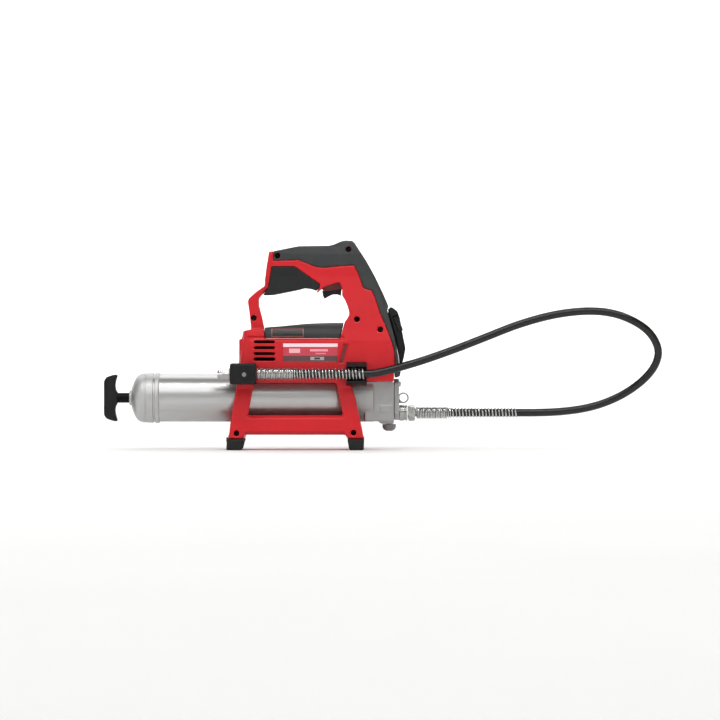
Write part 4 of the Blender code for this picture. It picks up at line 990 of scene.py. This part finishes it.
def make_cap(axis, material):
    """The spun cap: a neck for the rod, a dome that meets the tube in a rolled rim, and the hollow in it."""
    left, right = limits("barrel_cap")[X]
    outer = half_size("barrel_cap", Z)
    dome = left + 2.5
    profile = [(left, 8.4), (left + 0.5, 8.9), (dome, 8.9)]
    # Steps along from the dome's foot, and back from the rim's end, with shares of the outer radius
    bulge = [(0.05, 0.37), (1.2, 0.49), (2.7, 0.61), (4.0, 0.71), (5.4, 0.795), (7.0, 0.86), (8.8, 0.915)]
    bulge += [(11.0, 0.95), (14.0, 0.975), (16.8, 0.982), (17.1, 0.972), (17.7, 0.972), (18.0, 0.984)]
    rim = [(7.6, 0.99), (7.0, 0.955), (5.8, 0.955), (5.2, 0.99), (4.0, 1), (1.8, 1), (0.4, 0.985), (0, 0.965)]
    profile += [(dome + step, outer * share) for step, share in bulge]
    profile += [(right - step, outer * share) for step, share in rim]
    cap = turned(profile, axis, "X", 96)
    hollow = [
        (left + 6.5, 9.0),
        (left + 10.5, BARREL_RADIUS * 0.74),
        (left + 19.2, BARREL_RADIUS - TUBE_WALL),
        (left + 19.2, BARREL_RADIUS + 0.3),
        (right + 2.0, BARREL_RADIUS + 0.3),
    ]
    cut(cap, turned(hollow, axis, "X", 96), rod("X", axis, 6.4, left - 3, left + 12))
    finish = ("barrel_cap_dome", "barrel", "barrel_silver", material["steel_spun_lacquered"])
    settle(cap, *finish, ["barrel_cap"])


class GUN_OT_plunger(Operator):
    """Plunger rod and T-shaped pull handle"""

    bl_idname = "gun.make_plunger"
    bl_label = "Plunger"

    def execute(self, context):
        material = finishes()
        left, right = limits("plunger_rod")[X]
        radius = half_size("plunger_rod", Z)
        profile = [(left, radius - 1.0), (left + 1.0, radius), (right - 0.5, radius), (right, radius - 0.5)]
        shaft = turned(profile, (0, 0, AXIS_Z), "X", 40)
        settle(shaft, "plunger_shaft", "rod", "black_plastic", material["steel_black_oxide"], ["plunger_rod"])
        finish = ("pull_grip", "rod", "black_plastic", material["nylon_moulded_black"])
        softened("pull_handle", sizes().edge * 0.9, 22, *finish)
        return {"FINISHED"}


# ---- pump head


class GUN_OT_head(Operator):
    """Die-cast pump head with its cover, outlet, relief valve and strap eye"""

    bl_idname = "gun.make_head"
    bl_label = "Pump head"

    def execute(self, context):
        material = finishes()
        head = copy_of("pump_head")
        for side in (-1, 1):
            add(head, block((146, 160), between(side, 20, 24.2), (44, 52)))
            chamfer(head, (128, 23, 31.6), (162, 23, 31.6), (0, -1), 3.0, side)
        soften(head, sizes().edge * 0.8, 4)
        settle(head, "head_casting", "housing", "cast_grey", material["zinc_die_cast"], ["pump_head"])
        cover = copy_of("cover_plate")
        groove = block((164.9, 165.9), (-30, 30), (20, 100))
        inset = 0.9
        half = half_size("cover_plate", Y) - inset
        bottom, top = limits("cover_plate")[Z]
        cut(groove, block((160, 170), (-half, half), (bottom + inset, top - inset)))
        cut(cover, groove)
        soften(cover, sizes().fine_edge * 0.8, 3)
        settle(cover, "head_cover", "housing", "cast_grey", material["zinc_die_cast"], ["cover_plate"])
        make_outlet(material)
        make_valve(material)
        make_eye(material)
        return {"FINISHED"}


def make_outlet(material):
    """The outlet fitting: a thin neck, then a collar with a groove round it."""
    left, right = limits("outlet_fitting")[X]
    outer = half_size("outlet_fitting", Z)
    face = right - 9.6
    profile = [(left, 4.0), (left + 0.3, 4.2), (face, 4.2), (face, outer - 0.6), (face + 0.6, outer)]
    profile += [(face + 5.6, outer), (face + 6.0, outer - 0.9), (face + 7.0, outer - 0.9)]
    profile += [(face + 7.4, outer), (right - 0.8, outer), (right, outer - 0.8)]
    fitting = turned(profile, (0, 0, OUTLET_Z), "X", 64)
    finish = ("outlet_boss", "housing", "barrel_silver", material["steel_zinc_plated"])
    settle(fitting, *finish, ["outlet_fitting"])


def make_valve(material):
    """The relief valve's knob, with small scallops round its rim for the fingers."""
    low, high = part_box("relief_valve")
    centre_x = ((low.x + high.x) / 2 - ORIGIN.x) / MM
    bottom, top = limits("relief_valve")[Z]
    outer = half_size("relief_valve", X)
    rim = bottom + 8.0
    profile = [(bottom, outer * 0.45), (bottom + 0.6, outer * 0.56), (bottom + 1.8, outer * 0.82)]
    profile += [(bottom + 4.0, outer * 0.97), (bottom + 4.6, outer), (rim, outer), (rim, 3.6), (top, 3.6)]
    valve = turned(profile, (centre_x, 0, 0), "Z", 72)
    for i in range(12):
        angle = math.tau * i / 12
        x = centre_x + (outer + 0.6) * math.cos(angle)
        y = (outer + 0.6) * math.sin(angle)
        cut(valve, rod("Z", (x, y, 0), 1.1, bottom - 1, rim + 1, 10))
    finish = ("relief_knob", "relief_valve", "cast_grey", material["zinc_die_cast_dark"])
    settle(valve, *finish, ["relief_valve"])


def make_eye(material):
    """A bent wire ring on a short bar."""
    ring_radius = 5.5
    wire = 1.1
    bpy.ops.mesh.primitive_torus_add(
        location=spot(173.4, 0, AXIS_Z),
        rotation=(math.pi / 2, 0, 0),
        major_segments=48,
        minor_segments=14,
        major_radius=ring_radius * MM,
        minor_radius=wire * MM,
    )
    ring = bpy.context.object
    apply_place()
    add(ring, rod("X", (0, 0, AXIS_Z - ring_radius), wire, 168.3, 176.0, 16))
    settle(ring, "strap_ring", "housing", "barrel_silver", material["steel_zinc_plated"], ["strap_eye"])


# ---- small pieces


class GUN_OT_feet(Operator):
    """Four rubber boots with raised ends and a grooved sole"""

    bl_idname = "gun.make_feet"
    bl_label = "Feet"

    def execute(self, context):
        material = finishes()["rubber_foot"]
        for i in range(1, 5):
            node = f"foot_pad_{i}"
            foot = copy_of(node)
            (left, right), (back, front), (_, top) = limits(node)
            for x in ((left + 0.1, left + 1.5), (right - 1.2, right)):
                add(foot, block(x, (back + 1, front - 1), (top - 3, top + 2)))
            for share in (0.25, 0.5, 0.75):
                y = back + (front - back) * share
                cut(foot, block((left - 1, right + 1), (y - 0.7, y + 0.7), (-1, 1.2)))
            soften(foot, sizes().fine_edge, 3)
            settle(foot, f"foot_boot_{i}", "housing", "foot_rubber", material, [node])
        return {"FINISHED"}


class GUN_OT_stowage(Operator):
    """Coupler holder and guard clip on the near side"""

    bl_idname = "gun.make_stowage"
    bl_label = "Hose holder and clip"

    def execute(self, context):
        material = finishes()
        holder = copy_of("hose_holder")
        front = limits("hose_holder")[Y][0]
        pin = (-13, 0, 88.6)
        cut(holder, block((-3.6, -2.6), (front - 1, front + 3), (70, 110)))
        cut(holder, rod("Y", pin, 3.4, front - 2, front + 0.8, 24))
        soften(holder, sizes().fine_edge, 4)
        black = ("housing", "black_plastic", material["nylon_moulded_black"])
        settle(holder, "holder_block", *black, ["hose_holder"])
        button = turned([(front + 0.1, 1.8), (front + 0.3, 2.5), (front + 1.4, 2.5)], pin, "Y", 32)
        settle(button, "holder_pin", "housing", "bright_steel", material["steel_hardened"])
        softened("hose_clip", sizes().fine_edge, 4, "guard_clip", *black)
        return {"FINISHED"}


class GUN_OT_screws(Operator):
    """Shell and cover screws with six-lobed recesses"""

    bl_idname = "gun.make_screws"
    bl_label = "Screws"

    def execute(self, context):
        material = finishes()
        shank = 1.6
        for i in range(1, 8):
            node = f"housing_screw_{i}"
            low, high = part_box(node)
            screw = make_screw(half_size(node, X), 2.4, shank, total=(high.y - low.y) / MM)
            place = ((low.x + high.x) / 2, low.y, (low.z + high.z) / 2)
            finish_screw(screw, place, math.pi / 2, f"shell_screw_{i}", node, material["steel_black_oxide"])
        for i in range(1, 5):
            node = f"cover_screw_{i}"
            low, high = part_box(node)
            screw = make_screw(half_size(node, Z), 2.0, shank, total=(high.x - low.x) / MM)
            place = (high.x, (low.y + high.y) / 2, (low.z + high.z) / 2)
            finish_screw(screw, place, math.pi, f"cover_bolt_{i}", node, material["steel_zinc_plated"])
        return {"FINISHED"}


def at_scene_origin(obj):
    """A piece modelled round the tool's origin, moved to the scene's."""
    obj.location = -ORIGIN
    pick(obj)
    apply_place()
    return obj


def make_screw(head, height, shank, total):
    """A pan-head screw along X with its head's top at the origin: its head's radius and height, then its
    shank's radius and its whole length, in millimetres.
    """
    profile = [(0.0, head * 0.7), (0.35, head * 0.93), (0.8, head), (height, head), (height, shank)]
    profile += [(total - 1.2, shank), (total, shank * 0.4)]
    screw = at_scene_origin(turned(profile, (0, 0, 0), "X", 32))
    corners = 36
    star = []
    for k in range(corners):
        angle = math.tau * k / corners
        reach = head * (0.5 + 0.1 * math.cos(6 * angle))
        star.append((reach * math.cos(angle), reach * math.sin(angle)))
    return cut(screw, at_scene_origin(prism(star, "X", -1.0, 1.3)))


def finish_screw(screw, place, turn, name, node, material):
    """Turns a screw about the upright, puts its head's top in its place and finishes it."""
    screw.rotation_euler = (0, 0, turn)
    screw.location = place
    pick(screw)
    apply_place()
    settle(screw, name, "housing", "bright_steel", material, [node])


class GUN_OT_inside(Operator):
    """Finishes of the pieces inside: motor, gears, crank, piston, follower, switch and board"""

    bl_idname = "gun.finish_inside"
    bl_label = "Inside pieces"

    def execute(self, context):
        material = finishes()
        looks = {
            "steel_zinc_plated": ["crank_bearing", "follower_plate", "trigger_pin"],
            "steel_spring_bright": ["follower_spring", "trigger_spring"],
            "steel_hardened": ["sun_gear", "planet_gear_1", "planet_gear_2", "planet_gear_3"]
            + ["ring_gear", "crank_carrier", "piston_yoke"],
            "zinc_die_cast": ["gear_case"],
            "steel_black_oxide": ["motor"],
            "brass_turned": ["check_valve"],
            "epoxy_board_green": ["control_board"],
            "nylon_moulded_black": ["terminal_block", "trigger_switch"],
            "rubber_overmould_grip": ["follower_cup"],
        }
        for name, nodes in looks.items():
            for node in nodes:
                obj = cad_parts[node]
                for slot in obj.material_slots:
                    slot.material = material[name]
                if not obj.material_slots:
                    raise RuntimeError(f"{node} has no material slot")
        return {"FINISHED"}


# ---- panel and start

OPERATORS = (
    GUN_OT_stage, GUN_OT_hose, GUN_OT_shell, GUN_OT_grips, GUN_OT_cover, GUN_OT_battery, GUN_OT_trigger,
    GUN_OT_barrel, GUN_OT_plunger, GUN_OT_head, GUN_OT_feet, GUN_OT_stowage, GUN_OT_screws,
    GUN_OT_inside,
)


class GUN_PT_panel(Panel):
    """Lists the steps that build the tool, with its sizes and colours"""

    bl_idname = "GUN_PT_panel"
    bl_label = "Grease gun"
    bl_space_type = "VIEW_3D"
    bl_region_type = "UI"
    bl_category = "Grease gun"

    def draw(self, context):
        for group in (context.scene.gun_sizes, context.scene.gun_colours):
            for key in group.__annotations__:
                self.layout.prop(group, key)
        for operator in OPERATORS:
            self.layout.operator(operator.bl_idname)


CLASSES = (GunSizes, GunColours, *OPERATORS, GUN_PT_panel)


def register():
    for cls in CLASSES:
        bpy.utils.register_class(cls)
    bpy.types.Scene.gun_sizes = PointerProperty(type=GunSizes)
    bpy.types.Scene.gun_colours = PointerProperty(type=GunColours)


def unregister():
    del bpy.types.Scene.gun_colours
    del bpy.types.Scene.gun_sizes
    for cls in reversed(CLASSES):
        bpy.utils.unregister_class(cls)


def main():
    register()
    for operator in OPERATORS:
        family, name = operator.bl_idname.split(".")
        getattr(getattr(bpy.ops, family), name)()


if __name__ == "__main__":
    main()
